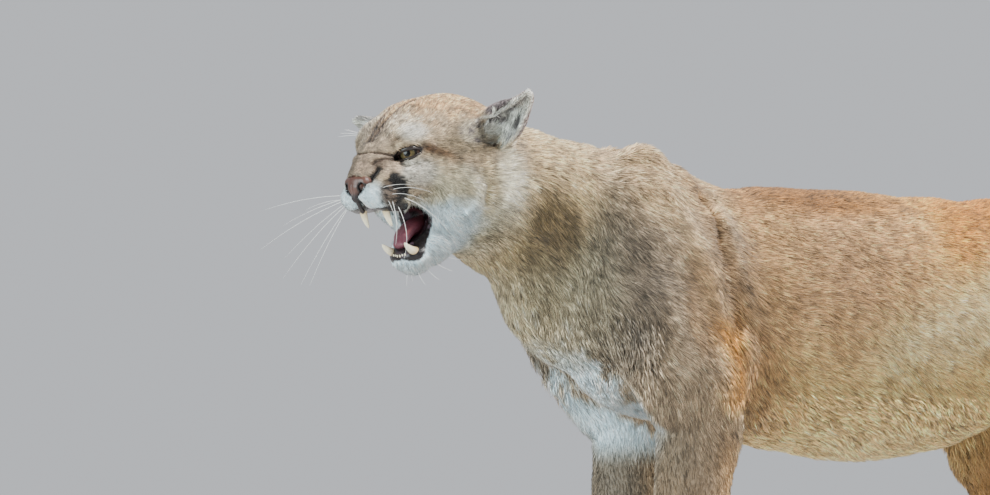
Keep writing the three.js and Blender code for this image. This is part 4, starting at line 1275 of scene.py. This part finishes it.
class Coat:
    """Sampled roots on the skin, and the shape and colour of the tuft at each"""

    def __init__(self, points, faces, normals, uv, density):
        a, b, c = (points[faces[:, i]] for i in range(3))
        area = np.linalg.norm(np.cross(b - a, c - a), axis=1) / 2
        middle = (a + b + c) / 3
        wanted = area * density(Place(middle)) * (1 - ease(bareness(middle), 0.2, 0.6))
        wanted *= middle[:, 2] > SOLE_HEIGHT
        count = np.floor(wanted + rng.random(len(faces))).astype(int)
        self.face = np.repeat(np.arange(len(faces)), count)
        n = len(self.face)
        r1, r2 = np.sqrt(rng.random(n)), rng.random(n)
        share = np.stack([1 - r1, r1 * (1 - r2), r1 * r2], 1)
        self.root = np.einsum("nk,nkc->nc", share, points[faces[self.face]])
        self.up = unit(np.einsum("nk,nkc->nc", share, normals[faces[self.face]]))
        self.uv = np.einsum("nk,nkc->nc", share, uv[self.face])
        at = Place(self.root)
        way = unit(lie(self.root, at))
        way -= np.einsum("ij,ij->i", way, self.up)[:, None] * self.up
        way = unit(way)
        across = np.cross(self.up, way)
        swirl = (noise(self.root, 42, 1) - 0.5) * 0.7 + (noise(self.root, 13, 2) - 0.5) * 0.5
        swirl += rng.normal(0, 0.13, n)
        self.way = unit(way + swirl[:, None] * across)
        self.across = np.cross(self.up, self.way)
        self.length = coat_length(at) * rng.uniform(0.72, 1.18, n)
        depth = np.maximum(0.6, coat_depth(self.root))
        self.height = depth * rng.uniform(0.45, 1.05, n) + at.jaw * rng.uniform(0, 2.4, n)
        self.width = np.clip(self.length * 0.09, 0.6, 1.7) * rng.uniform(0.8, 1.25, n)
        base = markings(self.root, at)
        pale = base.min(1) / 255
        plain = 1 - ease(pale, 0.66, 0.86)
        streak = (noise(self.root * [1, 1, 0.6], 9, 8) - 0.5) * 0.34 + (noise(self.root, 3.4, 9) - 0.5) * 0.56
        streak += rng.normal(0, 0.11, n) * (1 + at.head * ease(at.h[:, 2], 10, 40))
        base = base * (1 + streak * (0.7 + 0.3 * plain))[:, None]
        tick = rng.random(n)
        dark_tip = (tick < 0.28) * (0.3 + 0.7 * plain)
        light_tip = (tick > 0.68) * 1.0
        # The root of a long tuft darker by a fifth: painted shade deep in the coat
        self.base = base * 0.8
        self.middle = base * (1 - 0.2 * dark_tip)[:, None]
        self.tip = base * (1.02 - 0.38 * dark_tip + 0.2 * light_tip)[:, None]

    def clump(self, size, pull):
        """Tips drawn together towards the middles of cells"""
        cell = np.floor(self.root / size).astype(np.int64)
        key = cell_key(cell)
        jitter = np.stack([LATTICE[(key * k) & (LATTICE_SIZE - 1)] for k in (3, 5, 7)], 1)
        goal = (cell + 0.2 + 0.6 * jitter) * size
        off = goal - self.root
        off -= np.einsum("ij,ij->i", off, self.up)[:, None] * self.up
        return off * pull

    def build(self, name, pick, long):
        """A piece of the picked tufts: a long one has a knee and a short one doesn't"""
        root, up, way, across = self.root[pick], self.up[pick], self.way[pick], self.across[pick]
        length, height = self.length[pick][:, None], self.height[pick][:, None]
        width = self.width[pick][:, None] / 2
        pulled = self.clump(11, 0.35)[pick] if long else 0
        tip = root + way * length * 0.97 + up * height + pulled
        sink = root - up * ROOT_DEPTH
        tip[:, 2] = np.maximum(tip[:, 2], TIP_GAP)
        sink[:, 2] = np.maximum(sink[:, 2], ROOT_GAP)
        n = len(root)
        if long:
            mid = root + way * length * 0.46 + up * height * 0.78 + (pulled * 0.3)
            ring = [mid - across * width, mid + across * width, mid + up * width * 0.8]
            points = np.stack([sink, *ring, tip], 1)
            corners = [(0, 2, 1), (0, 1, 3), (0, 3, 2), (4, 1, 2), (4, 3, 1), (4, 2, 3)]
            colours = np.stack([self.base[pick], *[self.middle[pick]] * 3, self.tip[pick]], 1)
        else:
            ring = [sink - across * width, sink + across * width, sink + up * (width + 0.9)]
            points = np.stack([*ring, tip], 1)
            corners = [(0, 1, 2), (3, 1, 0), (3, 0, 2), (3, 2, 1)]
            # The sunk ring of a short tuft a little darker: painted shade at its root
            colours = np.stack([*[self.middle[pick] * 0.93] * 3, self.tip[pick]], 1)
        k = points.shape[1]
        faces = (np.array(corners)[None] + np.arange(n)[:, None, None] * k).reshape(-1, 3)
        piece = make_mesh(name, points.reshape(-1, 3), faces)
        paint(piece, "coat", colours.reshape(-1, 3))
        patch = np.array([(-0.0015, 0), (0.0015, 0), (0, 0.0015), (0, -0.0015), (0.001, 0.001)])[:k]
        layer = piece.data.uv_layers.new(name="OFBake")
        spread = (self.uv[pick][:, None, :] + patch[None]).reshape(-1, 2)
        layer.data.foreach_set("uv", spread[faces.ravel()].astype(np.float32).ravel())
        return piece


def unwrap(piece):
    """An unwrap of the skin's own shape, as one place for each corner of each face"""
    for other in bpy.context.selected_objects:
        other.select_set(False)
    bpy.context.view_layer.objects.active = piece
    piece.select_set(True)
    piece.data.uv_layers.new(name="OFBake")
    bpy.ops.object.mode_set(mode="EDIT")
    bpy.ops.mesh.select_all(action="SELECT")
    bpy.ops.uv.smart_project(angle_limit=1.15, island_margin=0.001)
    bpy.ops.object.mode_set(mode="OBJECT")
    uv = np.zeros(len(piece.data.loops) * 2, np.float32)
    piece.data.uv_layers["OFBake"].data.foreach_get("uv", uv)
    return uv.reshape(-1, 3, 2).astype(float)


# Materials
class Shader:
    """A small helper round one node tree"""

    def __init__(self, name):
        self.material = bpy.data.materials.new(name)
        self.material.use_nodes = True
        self.nodes = self.material.node_tree.nodes
        self.links = self.material.node_tree.links
        self.surface = self.nodes["Principled BSDF"]

    def node(self, kind, **values):
        made = self.nodes.new(kind)
        for key, value in values.items():
            if key in made.inputs:
                made.inputs[key].default_value = value
            else:
                setattr(made, key, value)
        return made

    def link(self, source, target):
        self.links.new(source, target)

    def set(self, **values):
        for key, value in values.items():
            self.surface.inputs[key.replace("_", " ")].default_value = value

    def attribute(self, name):
        return self.node("ShaderNodeAttribute", attribute_name=name)

    def grain(self, scale, detail):
        place = self.node("ShaderNodeTexCoord")
        made = self.node("ShaderNodeTexNoise", Scale=scale, Detail=detail, Roughness=0.6)
        self.link(place.outputs["Object"], made.inputs["Vector"])
        return made.outputs["Fac"]

    def vary(self, colour, fac, low, high):
        """The colour made darker and lighter by a factor"""
        span = self.node("ShaderNodeMapRange", **{"To Min": low, "To Max": high})
        span.inputs["From Min"].default_value = 0.3
        span.inputs["From Max"].default_value = 0.7
        self.link(fac, span.inputs["Value"])
        mixed = self.node("ShaderNodeVectorMath", operation="SCALE")
        self.link(colour, mixed.inputs[0])
        self.link(span.outputs["Result"], mixed.inputs["Scale"])
        return mixed.outputs["Vector"]

    def bump(self, fac, strength, distance):
        made = self.node("ShaderNodeBump", Strength=strength, Distance=distance)
        self.link(fac, made.inputs["Height"])
        self.link(made.outputs["Normal"], self.surface.inputs["Normal"])

    def cells(self, scale, **values):
        place = self.node("ShaderNodeTexCoord")
        made = self.node("ShaderNodeTexVoronoi", Scale=scale, **values)
        self.link(place.outputs["Object"], made.inputs["Vector"])
        return made.outputs["Distance"]

    def colour(self, layer, scale, detail, low, high):
        """A painted layer as the base colour, with a fine grain in it"""
        varied = self.vary(self.attribute(layer).outputs["Color"], self.grain(scale, detail), low, high)
        self.link(varied, self.surface.inputs["Base Color"])


def coat_material():
    s = Shader("coat")
    s.set(Roughness=0.62, Specular_IOR_Level=0.28, Sheen_Weight=0.12, Sheen_Roughness=0.5)
    s.colour("coat", 900, 3, 0.86, 1.14)
    s.bump(s.grain(2600, 2), 0.25, 0.0004)
    return s.material


def skin_material():
    s = Shader("skin")
    s.set(Specular_IOR_Level=0.4)
    s.colour("coat", 420, 4, 0.82, 1.12)
    rough = s.node("ShaderNodeMapRange", **{"To Min": 0.72, "To Max": 0.26})
    s.link(s.attribute("bare").outputs["Fac"], rough.inputs["Value"])
    s.link(rough.outputs["Result"], s.surface.inputs["Roughness"])
    s.bump(s.grain(700, 4), 0.5, 0.0008)
    return s.material


def painted_material(name, layer, rough, scale, bump, spread=0.1, **values):
    """A hard, slightly glossy material in the colours of a layer"""
    s = Shader(name)
    s.set(Roughness=rough, **values)
    s.colour(layer, scale, 4, 1 - spread, 1 + spread)
    s.bump(s.grain(scale * 2.5, 3), 0.4, bump)
    return s.material


# Small solids of the head and paws
def tube(path, radii, sides=10, flat=1.0):
    """A tapered tube that closes at both ends"""
    path, radii = np.array(path, float), np.array(radii, float)
    way = unit(np.gradient(path, axis=0))
    side = np.cross(way[0], (0.31, 0.2, 0.93))
    points, n = [path[0]], len(path)
    for i in range(n):
        side = unit(side - way[i] * side.dot(way[i]))
        up = np.cross(way[i], side)
        for k in range(sides):
            a = 2 * math.pi * k / sides
            points.append(path[i] + radii[i] * (math.cos(a) * side + flat * math.sin(a) * up))
    points.append(path[-1] + way[-1] * radii[-1] * 0.6)
    faces = []
    for k in range(sides):
        m = (k + 1) % sides
        faces.append((0, 1 + m, 1 + k))
        for i in range(n - 1):
            a, b = 1 + i * sides, 1 + (i + 1) * sides
            faces += [(a + k, a + m, b + m), (a + k, b + m, b + k)]
        last = 1 + (n - 1) * sides
        faces.append((last + k, last + m, len(points) - 1))
    return np.array(points), np.array(faces)


def curve(points, count):
    points = [np.array(p, float) for p in points]
    return np.array([curve_point(points, t) for t in np.linspace(0, 1, count)])


def joined(parts):
    points, faces, start = [], [], 0
    for p, f in parts:
        points.append(p)
        faces.append(f + start)
        start += len(p)
    return np.concatenate(points), np.concatenate(faces)


def tooth(root, tip, radius, bend, m, sides=20, rings=18):
    """A curved cone from its root in the gum to its tip"""
    root, tip = np.array(root, float), np.array(tip, float)
    middle = (root + tip) / 2 + np.array(bend, float)
    t = np.linspace(0, 1, rings)
    path = np.outer((1 - t) ** 2, root) + np.outer(2 * t * (1 - t), middle) + np.outer(t * t, tip)
    radii = radius * np.sqrt(np.maximum(0, 1 - t**1.7)) * (1 - 0.25 * t) + 0.25
    points, faces = tube(placed(m, path), radii, sides)
    share = np.concatenate([[0], np.repeat(t, sides), [1]])
    return points, faces, mix(plain(IVORY_ROOT, len(points)), IVORY_TIP, ease(share, 0.05, 0.7))


def add_teeth():
    parts = []
    for s in (-1, 1):
        parts.append(tooth((-84, s * 16, -42), (-74, s * 16.5, -70), 4.9, (-5, 0, -1), HEAD))
        parts.append(tooth((-81, s * 14.5, -20), (-96, s * 16, 2), 5.4, (-4, 0, -3), JAW))
        for i in range(3):
            y = s * (2.2 + 3.9 * i)
            x = -98 + 0.9 * i * i
            root, tip = (x + 8, y, -41), (x + 7, y, -47.5 - i * 0.7)
            parts.append(tooth(root, tip, 1.6, (-1, 0, 0), HEAD, 12, 8))
            x = -96 + i * 0.9
            root, tip = (x, y * 0.8, -18), (x - 1, y * 0.82, -12.5)
            parts.append(tooth(root, tip, 1.4, (0, 0, 0), JAW, 12, 8))
        for x, y, z, high, r in ((-64, 21, -39, 6, 3.6), (-53, 23, -37, 9, 5.0), (-44, 24, -36, 6, 4.2)):
            parts.append(tooth((x, s * y, z), (x, s * (y - 1), z - high), r, (0, 0, 0), HEAD, 14, 9))
        for x, y, z, high, r in ((-72, 17, -20, 5, 3.0), (-64, 18, -20, 6, 3.8), (-56, 19, -20, 6, 3.8)):
            parts.append(tooth((x, s * y, z), (x, s * (y - 1), z + high), r, (0, 0, 0), JAW, 14, 9))
    points, faces = joined([part[:2] for part in parts])
    colours = np.concatenate([part[2] for part in parts])
    enamel = painted_material("enamel", "ivory", 0.22, 500, 0.0002, 0.08, Coat_Weight=0.4)
    piece = painted_piece("teeth", points, faces, "ivory", colours, enamel)


def sculpted(field, low, high, cell, m):
    """A small piece from its own field, whose box is given in the frame m"""
    corners = np.where(list(np.ndindex(2, 2, 2)), high, low)
    world = placed(m, corners)
    points, quads = surface(field, world.min(0), world.max(0), cell)
    points, quads = kept_faces(points, quads, np.ones(len(points), bool))
    return points, split_quads(points, quads)


def add_nose():
    f = Field()
    f.add(Lump((-110, 0, -17.5), (8, 13.5, 5), HEAD), 3)
    f.add(Lump((-112.5, 0, -25), (7.5, 10.5, 9), HEAD), 4)
    f.add(Lump((-114, 0, -35), (5, 4.5, 7.5), HEAD), 4)
    for s in (-1, 1):
        f.add(Lump((-107.5, s * 11.5, -21.5), (7.5, 5, 7), HEAD), 4)
        f.carve(Lump((-115, s * 10, -26.5), (8, 3.0, 5.2), HEAD), 1.2)
        f.carve(Lump((-110, s * 13, -30), (10, 4.2, 2.6), HEAD), 1.2)
    f.add(Limb([(-113, 0, -37, 2.6, 3), (-109, 0, -44, 1.8, 3), (-103, 0, -52, 2.0, 3)], HEAD), 2)
    f.carve(Lump((-121, 0, -32), (2.6, 0.7, 11), HEAD), 1.2)
    points, faces = sculpted(f, (-126, -20, -60), (-96, 20, -8), 0.8, HEAD)
    h = folded(local(HEAD, points))
    hole = spot(h, (-114, 10, -26.5), (9, 4.2, 6.4))
    hole = np.maximum(hole, stroke(h, [(-114, 10.5, -29), (-107, 15.5, -29)], 3))
    hole = np.maximum(hole, spot(h, (-110, 12.5, -25.5), (7, 3.4, 4.4)))
    rosy = plain(NOSE_ROSE, len(h)) * (0.9 + 0.2 * noise(h, 4, 33))[:, None]
    # A painted highlight along the top of the nose pad
    highlight_line = stroke(h, [(-112, 0, -12), (-110, 10, -14), (-104, 15, -18)], 2.4)
    rosy = mix(rosy, NOSE_HIGHLIGHT, highlight_line * 0.6)
    rosy = mix(rosy, NOSE_STEM, ease(-h[:, 2], 31, 37) * 0.95)
    edge = stroke(h, [(-108, 15, -25), (-112, 12.5, -31), (-116, 8, -36), (-118, 4, -44)], 4.4)
    rosy = mix(rosy, NOSE_EDGE, edge * 0.9)
    rosy = mix(rosy, NOSTRIL_BLACK, np.clip(hole * 1.6, 0, 1))
    s = Shader("nose_leather")
    s.set(Roughness=0.38, Specular_IOR_Level=0.5, Coat_Weight=0.15, Coat_Roughness=0.3)
    s.colour("leather", 600, 4, 0.88, 1.1)
    s.bump(s.cells(1100.0, feature="DISTANCE_TO_EDGE"), 0.5, 0.0004)
    piece = painted_piece("nose_pad", points, faces, "leather", rosy, s.material)
    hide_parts("nose")


def add_tongue():
    f = Field()
    f.add(Limb([(-34, 5, -10, 10, 9), (-54, 5, -5, 12, 9), (-70, 4, -3, 12, 7), (-84, 3, -7, 9, 5)], JAW), 2)
    f.carve(Limb([(-90, 3, 3, 3, 3), (-70, 4, 9, 3, 4), (-50, 5, 11, 3, 4), (-30, 5, 11, 3, 4)], JAW), 5)
    points, faces = sculpted(f, (-104, -22, -20), (-10, 22, 18), 1.5, JAW)
    j = local(JAW, points)
    pink = plain(TONGUE_PINK, len(j))
    # A painted highlight along the near edge of the tongue's wet top
    pink = mix(pink, TONGUE_HIGHLIGHT, stroke(j, [(-48, -6, 3), (-62, -7, 3), (-76, -5, 1)], 2.4) * 0.7)
    pink = mix(pink, TONGUE_SIDE, ease(np.abs(j[:, 1] - 4), 10, 14) * 0.6)
    # Painted shade: the back of the tongue darker, deep in the mouth
    pink = mix(pink, TONGUE_ROOT_SHADE, ease(j[:, 0], -62, -38))
    s = Shader("tongue")
    s.set(Roughness=0.36, Specular_IOR_Level=0.5, Subsurface_Weight=0.1)
    s.colour("flesh", 300, 4, 0.86, 1.1)
    s.bump(s.cells(800.0), 0.6, 0.0006)
    piece = painted_piece("tongue_flesh", points, faces, "flesh", pink, s.material)
    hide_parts("tongue")


def add_eye(name, s):
    """A ball with its iris, its pupil and the bulge over them"""
    m = eye_frame(s)
    rows, sides = 60, 72
    polar = np.concatenate([np.linspace(0, 0.75, 40), np.linspace(0.8, math.pi, rows - 40)])
    points, faces = [], []
    for a in polar[1:-1]:
        bulge = EYE_RADIUS * (1 + 0.07 * (1 - ease(np.array(a), 0.35, 0.72)))
        wide = bulge * math.sin(a)
        for k in range(sides):
            b = 2 * math.pi * k / sides
            points.append((bulge * math.cos(a), wide * math.cos(b), wide * math.sin(b)))
    points = [(EYE_RADIUS * 1.07, 0, 0)] + points + [(-EYE_RADIUS, 0, 0)]
    for k in range(sides):
        n = (k + 1) % sides
        faces.append((0, 1 + k, 1 + n))
        for i in range(rows - 3):
            a, b = 1 + i * sides, 1 + (i + 1) * sides
            faces += [(a + k, b + k, b + n), (a + k, b + n, a + n)]
        last = 1 + (rows - 3) * sides
        faces.append((last + k, len(points) - 1, last + n))
    points, faces = np.array(points), np.array(faces)
    angle = np.arctan2(np.hypot(points[:, 1], points[:, 2]), points[:, 0])
    round_the = np.arctan2(points[:, 2], points[:, 1])
    ray = np.stack([np.cos(round_the) * 9, np.sin(round_the) * 9, angle * 3], 1)
    streak = noise(ray, 1, 21) + 0.6 * noise(ray * [2.4, 2.4, 1], 1, 22) - 0.8
    c = plain(IRIS_OLIVE, len(points))
    c = mix(c, IRIS_BROWN, (1 - ease(angle, 0.26, 0.42)) * 0.8)
    c = c * (1 + 0.35 * streak)[:, None]
    c = mix(c, IRIS_EDGE, ease(angle, 0.54, 0.62))
    c = mix(c, EYE_BROWN, ease(angle, 0.74, 0.9))
    c = mix(c, PUPIL_BLACK, 1 - ease(angle, 0.235, 0.26))
    shader = Shader(name)
    shader.set(Roughness=0.16, Specular_IOR_Level=0.16, Coat_Weight=0.12, Coat_Roughness=0.03)
    shader.colour("iris", 1500, 4, 0.85, 1.15)
    piece = painted_piece(name, placed(m, points), faces, "iris", c, shader.material)
    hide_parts(name)


# The corners of the near lids' opening, across and up in the eye's frame
LID_OPENING = [(16.5, -2.6), (9, 3.0), (0, 5.0), (-9, 4.4), (-16, -0.4), (-9, -4.4), (0, -5.6), (9, -5.4)]


def add_lids():
    """The dark rims of the lids, as a closed tube round each eye"""
    parts = []
    for s in (-1, 1):
        m = eye_frame(s)
        ring = np.array([(s * -y, z) for y, z in LID_OPENING], float)
        ring = np.concatenate([ring[-1:], ring, ring[:2]])
        path = []
        for i in range(1, len(ring) - 2):
            for t in np.linspace(0, 1, 10, endpoint=False):
                a, b, c, d = ring[i - 1], ring[i], ring[i + 1], ring[i + 2]
                p = 2 * b + (c - a) * t + (2 * a - 5 * b + 4 * c - d) * t**2
                path.append(0.5 * (p + (3 * b - a - 3 * c + d) * t**3))
        path = np.array(path + path[:1])
        r = EYE_RADIUS + 1.0
        x = np.sqrt(np.maximum(9, r * r - (path**2).sum(1)))
        thick = 1.3 + 1.5 * ease(path[:, 1], 1, 4)
        path = np.column_stack([x, path])
        parts.append(tube(placed(m, path), thick, 12))
    points, faces = joined(parts)
    rims = painted_material("lid_rims", "lid", 0.3, 900, 0.0002, Specular_IOR_Level=0.5)
    piece = painted_piece("lid_rims", points, faces, "lid", plain(LID_BLACK, len(points)), rims)


# Radii at the root, in millimetres, and the length from which a hair counts as a whisker
WHISKER_RADIUS = 0.28
BROW_HAIR_RADIUS = 0.26
CHIN_HAIR_RADIUS = 0.2
SHORT_HAIR_RADIUS = 0.16
WHISKER_LENGTH = 50


def whisker(start, way, length, droop, m, radius):
    """A tapered hair that bends by its droop towards its tip"""
    t = np.linspace(0, 1, 18)
    start, way = np.array(start, float), unit(way)
    path = start + np.outer(t * length, way) + np.outer(t * t * length, droop)
    return tube(placed(m, path), radius * (1 - t) ** 0.7 + 0.06, 6)


# Long hairs of the upper lip: root, way, length and droop in the head's frame
FAR_WHISKERS = [
    ((-100, 25, -33), (0.1, 1, 0.06), 128, (-0.03, 0, -0.12)),
    ((-98, 26, -36), (0.16, 1, -0.1), 108, (-0.03, 0, -0.12)),
    ((-104, 22, -38), (0.04, 1, -0.22), 134, (-0.03, 0, -0.14)),
    ((-95, 28, -40), (0.2, 1, -0.36), 118, (-0.05, 0, -0.14)),
    ((-101, 24, -43), (0.1, 1, -0.52), 118, (-0.03, 0, -0.18)),
    ((-94, 28, -45), (0.16, 1, -0.74), 104, (-0.04, 0, -0.2)),
    ((-98, 26, -48), (0.12, 1, -0.95), 92, (-0.02, 0, -0.2)),
    ((-90, 30, -38), (0.2, 1, 0.12), 74, (-0.05, 0, -0.2)),
]
NEAR_WHISKERS = [
    ((-90, -32, -42), (0.04, -0.3, -1), 52, (-0.06, 0.25, 0)),
    ((-79, -31, -49), (0.34, -0.3, -1), 64, (-0.3, 0.22, 0)),
    ((-72, -35, -40), (0.85, -0.3, -0.3), 70, (0, 0.1, -0.34)),
    ((-100, -27, -28), (0.7, -0.7, 0.3), 34, (0.1, 0.02, -0.25)),
    ((-88, -33, -30), (0.7, -0.7, 0.2), 42, (0.1, 0.02, -0.35)),
    ((-92, -31, -36), (0.5, -0.8, 0.2), 38, (0.2, 0.02, -0.5)),
    ((-95, -30, -41), (-0.1, -0.5, -0.8), 36, (0.2, 0.2, -0.1)),
]


def add_whiskers():
    parts = []
    for start, way, length, droop in FAR_WHISKERS + NEAR_WHISKERS:
        radius = WHISKER_RADIUS if length > WHISKER_LENGTH else SHORT_HAIR_RADIUS
        parts.append(whisker(start, way, length, droop, HEAD, radius))
    for s in (-1, 1):
        for k in range(3):
            start = (-60 + 5 * k, s * (27 + 3 * k), 34)
            way = (-0.7, s * (0.5 + 0.3 * k), 0.35 - 0.1 * k)
            parts.append(whisker(start, way, 26 + 4 * k, (0.1, 0, -0.1), HEAD, BROW_HAIR_RADIUS))
        for k in range(4):
            start = (-86 + 10 * k, s * (6 + 3 * k), -38)
            way = (-0.5 + 0.35 * k, s * 0.35, -1)
            parts.append(whisker(start, way, 26 + 4 * k, (0.2, 0, 0.1), JAW, CHIN_HAIR_RADIUS))
    points, faces = joined(parts)
    hair = painted_material("whiskers", "hair", 0.4, 800, 0.0001, Specular_IOR_Level=0.5)
    white = plain(WHISKER_WHITE, len(points))
    piece = painted_piece("whiskers", points, faces, "hair", white, hair)


def add_claws():
    parts = []
    for x, y, size in PAWS:
        for toe in range(4):
            tip = toe_tip(x, y, size, toe)
            path = curve([tip + (6, 0, 6), tip + (-3, 0, 6), tip + (-8, 0, 1), tip + (-9.5, 0, -5)], 14)
            path[:, 2] = np.maximum(path[:, 2], 1.2)
            parts.append(tube(path, 3 * (1 - np.linspace(0, 1, 14) ** 1.8 * 0.92), 12, 0.7))
    points, faces = joined(parts)
    horn = painted_material("claws", "horn", 0.32, 400, 0.0002, Specular_IOR_Level=0.5)
    colours = plain(CLAW_HORN, len(points)) * (0.8 + 0.4 * noise(points, 4, 9))[:, None]
    piece = painted_piece("claws", points, faces, "horn", colours, horn)


# The photograph's view: its side and rise in degrees, and its place in the sculpt's metres
PHOTO_SIDE = -30
PHOTO_RISE = -4
PHOTO_DISTANCE = 6.0
PHOTO_WIDTH = 1.14
PHOTO_ACROSS = -0.187
PHOTO_HEIGHT = 0.600
SENSOR = 36
# The lamps: side and rise in degrees, distance and size in metres, watts and colour
LAMPS = {
    "key": (30, 46, 4.0, 1.3, 300, (1.0, 0.98, 0.95)),
    "fill": (-70, 8, 4.5, 2.0, 150, (0.86, 0.99, 1.0)),
    "rim": (150, 55, 4.0, 1.6, 140, (1.0, 0.98, 0.94)),
}
LAMPS_AIM = (0, 0, 0.5)
FLOOR_REACH = 30
FLOOR_COLOUR = (0.62, 0.61, 0.59, 1)
STUDIO_COLOUR = (0.85, 0.88, 0.93, 1)
STUDIO_STRENGTH = 0.72


def backwards(side, rise):
    """The way from the animal to a camera or lamp"""
    a, e = math.radians(side), math.radians(rise)
    return np.array([math.sin(a) * math.cos(e), -math.cos(a) * math.cos(e), math.sin(e)])


def aimed(name, data, target, back, distance):
    """A camera or lamp that looks at the target"""
    holder = bpy.data.objects.new(name, data)
    holder.location = np.array(target) + back * distance
    holder.rotation_euler = Vector(-back).to_track_quat("-Z", "Y").to_euler()
    bpy.context.scene.collection.objects.link(holder)
    return holder


def add_camera():
    a = math.radians(PHOTO_SIDE)
    right = np.array([math.cos(a), math.sin(a), 0])
    target = to_frame((right * PHOTO_ACROSS + [0, 0, PHOTO_HEIGHT]) * 1000)
    camera = bpy.data.cameras.new("camera")
    camera.sensor_width = SENSOR
    camera.lens = SENSOR * PHOTO_DISTANCE / PHOTO_WIDTH
    back = backwards(PHOTO_SIDE, PHOTO_RISE)
    bpy.context.scene.camera = aimed("camera", camera, target, back, PHOTO_DISTANCE)


def add_lamp(name, side, rise, distance, size, power, colour):
    light = bpy.data.lights.new(name, "AREA")
    light.shape = "DISK"
    light.size = size
    light.energy = power
    light.color = colour
    aimed(name, light, LAMPS_AIM, backwards(side, rise), distance)


def add_stage():
    mesh = bpy.data.meshes.new("floor")
    r = FLOOR_REACH
    mesh.from_pydata([(-r, -r, 0), (r, -r, 0), (r, r, 0), (-r, r, 0)], [], [(0, 1, 2, 3)])
    floor = bpy.data.objects.new("floor", mesh)
    bpy.context.scene.collection.objects.link(floor)
    s = Shader("floor")
    s.set(Roughness=0.8, Specular_IOR_Level=0.2, Base_Color=FLOOR_COLOUR)
    mesh.materials.append(s.material)
    world = bpy.data.worlds.new("studio")
    bpy.context.scene.world = world
    world.use_nodes = True
    background = world.node_tree.nodes["Background"]
    background.inputs["Color"].default_value = STUDIO_COLOUR
    background.inputs["Strength"].default_value = STUDIO_STRENGTH
    for name, values in LAMPS.items():
        add_lamp(name, *values)


def tuft_density(at):
    """Tufts for each square millimetre"""
    shown = (1 - ease(at.x, 420, 520)) * (1 - ease(at.y, 0, 60)) * ease(at.z, 250, 330)
    d = 0.11 + 0.28 * shown
    d = stepped(d, (at.leg, 0.135), (at.paw, 0.4), (at.tail, 0.2))
    d = stepped(d, (at.head, 0.55), (at.muzzle, 1.0), (at.ear, 0.8))
    return d * np.where(coat_length(at) > LONG_HAIR, 0.7, 1.0)


def build():
    add_camera()
    add_stage()
    form = body_field()
    add_head(form)
    points, faces, normals = make_skin(Level(form, coat_depth))
    points[:, 2] = np.maximum(points[:, 2], FLOOR_GAP)
    skin = make_mesh("skin", points, faces)
    colour, bare = skin_colour(points)
    paint(skin, "coat", colour)
    weigh(skin, "bare", bare)
    skin.data.materials.append(skin_material())
    flesh = [n for n in frame["nodes"] if not n.startswith("eye") and n not in ("nose", "tongue")]
    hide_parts(*flesh)
    coat = Coat(points, faces, normals, unwrap(skin), tuft_density)
    long = coat.length > LONG_HAIR
    order = np.argsort(coat.root[:, 0], kind="stable")
    material = coat_material()
    for tag, chosen, each in (("short", ~long, SHORT_TUFT), ("long", long, LONG_TUFT)):
        chosen = order[chosen[order]]
        count = int(math.ceil(len(chosen) * each / COAT_PIECE))
        for i, part in enumerate(np.array_split(chosen, count)):
            piece = coat.build(f"coat_{tag}_{i + 1}", part, tag == "long")
            piece.data.materials.append(material)
    for name, s in SIDES.items():
        add_eye("eye_" + name, s)
    add_lids()
    add_nose()
    add_tongue()
    add_teeth()
    add_whiskers()
    add_claws()


build()
